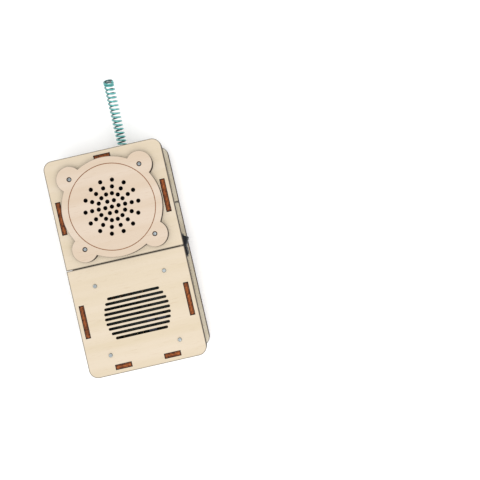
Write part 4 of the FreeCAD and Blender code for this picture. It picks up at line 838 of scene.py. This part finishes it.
def swept_wire(name, line, radius, sides):
    """A closed mesh tube along a line of points, its ends rounded off."""
    mesh = bmesh.new()
    normal = Vector((0, 0, 1))
    angles = [2 * math.pi * k / sides for k in range(sides)]
    spokes = [(math.cos(angle), math.sin(angle)) for angle in angles]
    rings = []
    for index, point in enumerate(line):
        before = line[max(index - 1, 0)]
        after = line[min(index + 1, len(line) - 1)]
        forward = (after - before).normalized()
        normal = (normal - forward * normal.dot(forward)).normalized()
        side = forward.cross(normal)
        if index == 0:
            caps = [(-reach, width) for reach, width in reversed(NIPPED_END)]
        elif index == len(line) - 1:
            caps = NIPPED_END
        else:
            caps = [(0.0, 1.0)]
        for reach, width in caps:
            centre = point + forward * radius * reach
            rings.append([mesh.verts.new(centre + (normal * c + side * s) * radius * width)
                          for c, s in spokes])
    for ring, following in zip(rings, rings[1:]):
        for k in range(sides):
            after_k = (k + 1) % sides
            mesh.faces.new((ring[k], ring[after_k], following[after_k], following[k]))
    mesh.faces.new(rings[0][::-1])
    mesh.faces.new(rings[-1])
    bmesh.ops.recalc_face_normals(mesh, faces=mesh.faces)
    data = bpy.data.meshes.new(name)
    mesh.to_mesh(data)
    mesh.free()
    data.shade_smooth()
    piece = bpy.data.objects.new(name, data)
    bpy.context.scene.collection.objects.link(piece)
    return piece


# %% Write the sides for the painted light and fit the wire
def mark_painted_light_side(piece, line, middles):
    """Write on each point whether it is on the inside or the outside of the coil, for the painted shade and
    the painted highlight.
    """
    values = []
    for vertex in piece.data.vertices:
        nearest = min(range(len(line)), key=lambda i: (line[i] - vertex.co).length_squared)
        outward = line[nearest] - middles[nearest]
        offset = vertex.co - line[nearest]
        if outward.length < WIRE_RADIUS or offset.length < 0.1 * WIRE_RADIUS:
            values.append(0.5)
        else:
            values.append(0.5 + 0.5 * outward.normalized().dot(offset.normalized()))
    attribute = piece.data.attributes.new(PAINTED_LIGHT_SIDE, "FLOAT", "POINT")
    attribute.data.foreach_set("value", values)


WIRE_SIDES = 12

antenna_wire_mesh = swept_wire("antenna_wire_wound", antenna_line, WIRE_RADIUS, WIRE_SIDES)
mark_painted_light_side(antenna_wire_mesh, antenna_line, antenna_middles)
antenna_wire_mesh.data.materials.append(enamel)
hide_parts("antenna_coil", "antenna_leg")
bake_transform(antenna_wire_mesh)
print("faces in the antenna:", len(antenna_wire_mesh.data.polygons))

# %% [markdown]
# ## Soft corners on the moulded controls
# No mould gives a knife edge, and a rounded one catches the light that tells the eye its shape.  The
# meshes stay as they are, and a modifier rounds their corners.

# %% Round the controls
WELD_GAP = 0.001 * MM
CORNER_ANGLE = math.radians(40)
SOFT_CORNERS = {        # mm
    "switch_rocker": 0.25,
    "switch_housing": 0.3,
    "talk_plunger": 0.25,
}
for soft_name, corner in SOFT_CORNERS.items():
    weld = frame["nodes"][soft_name].modifiers.new("weld", "WELD")
    weld.merge_threshold = WELD_GAP
    bevel = frame["nodes"][soft_name].modifiers.new("round", "BEVEL")
    bevel.width = corner * MM
    bevel.segments = 3
    bevel.limit_method = "ANGLE"
    bevel.angle_limit = CORNER_ANGLE
    bevel.harden_normals = True
print("softened:", ", ".join(SOFT_CORNERS))

# %% [markdown]
# ## Finish
# The looks mustn't grow the toy.  At the end the scene is brought up to date.

# %% Finish
bpy.context.view_layer.update()
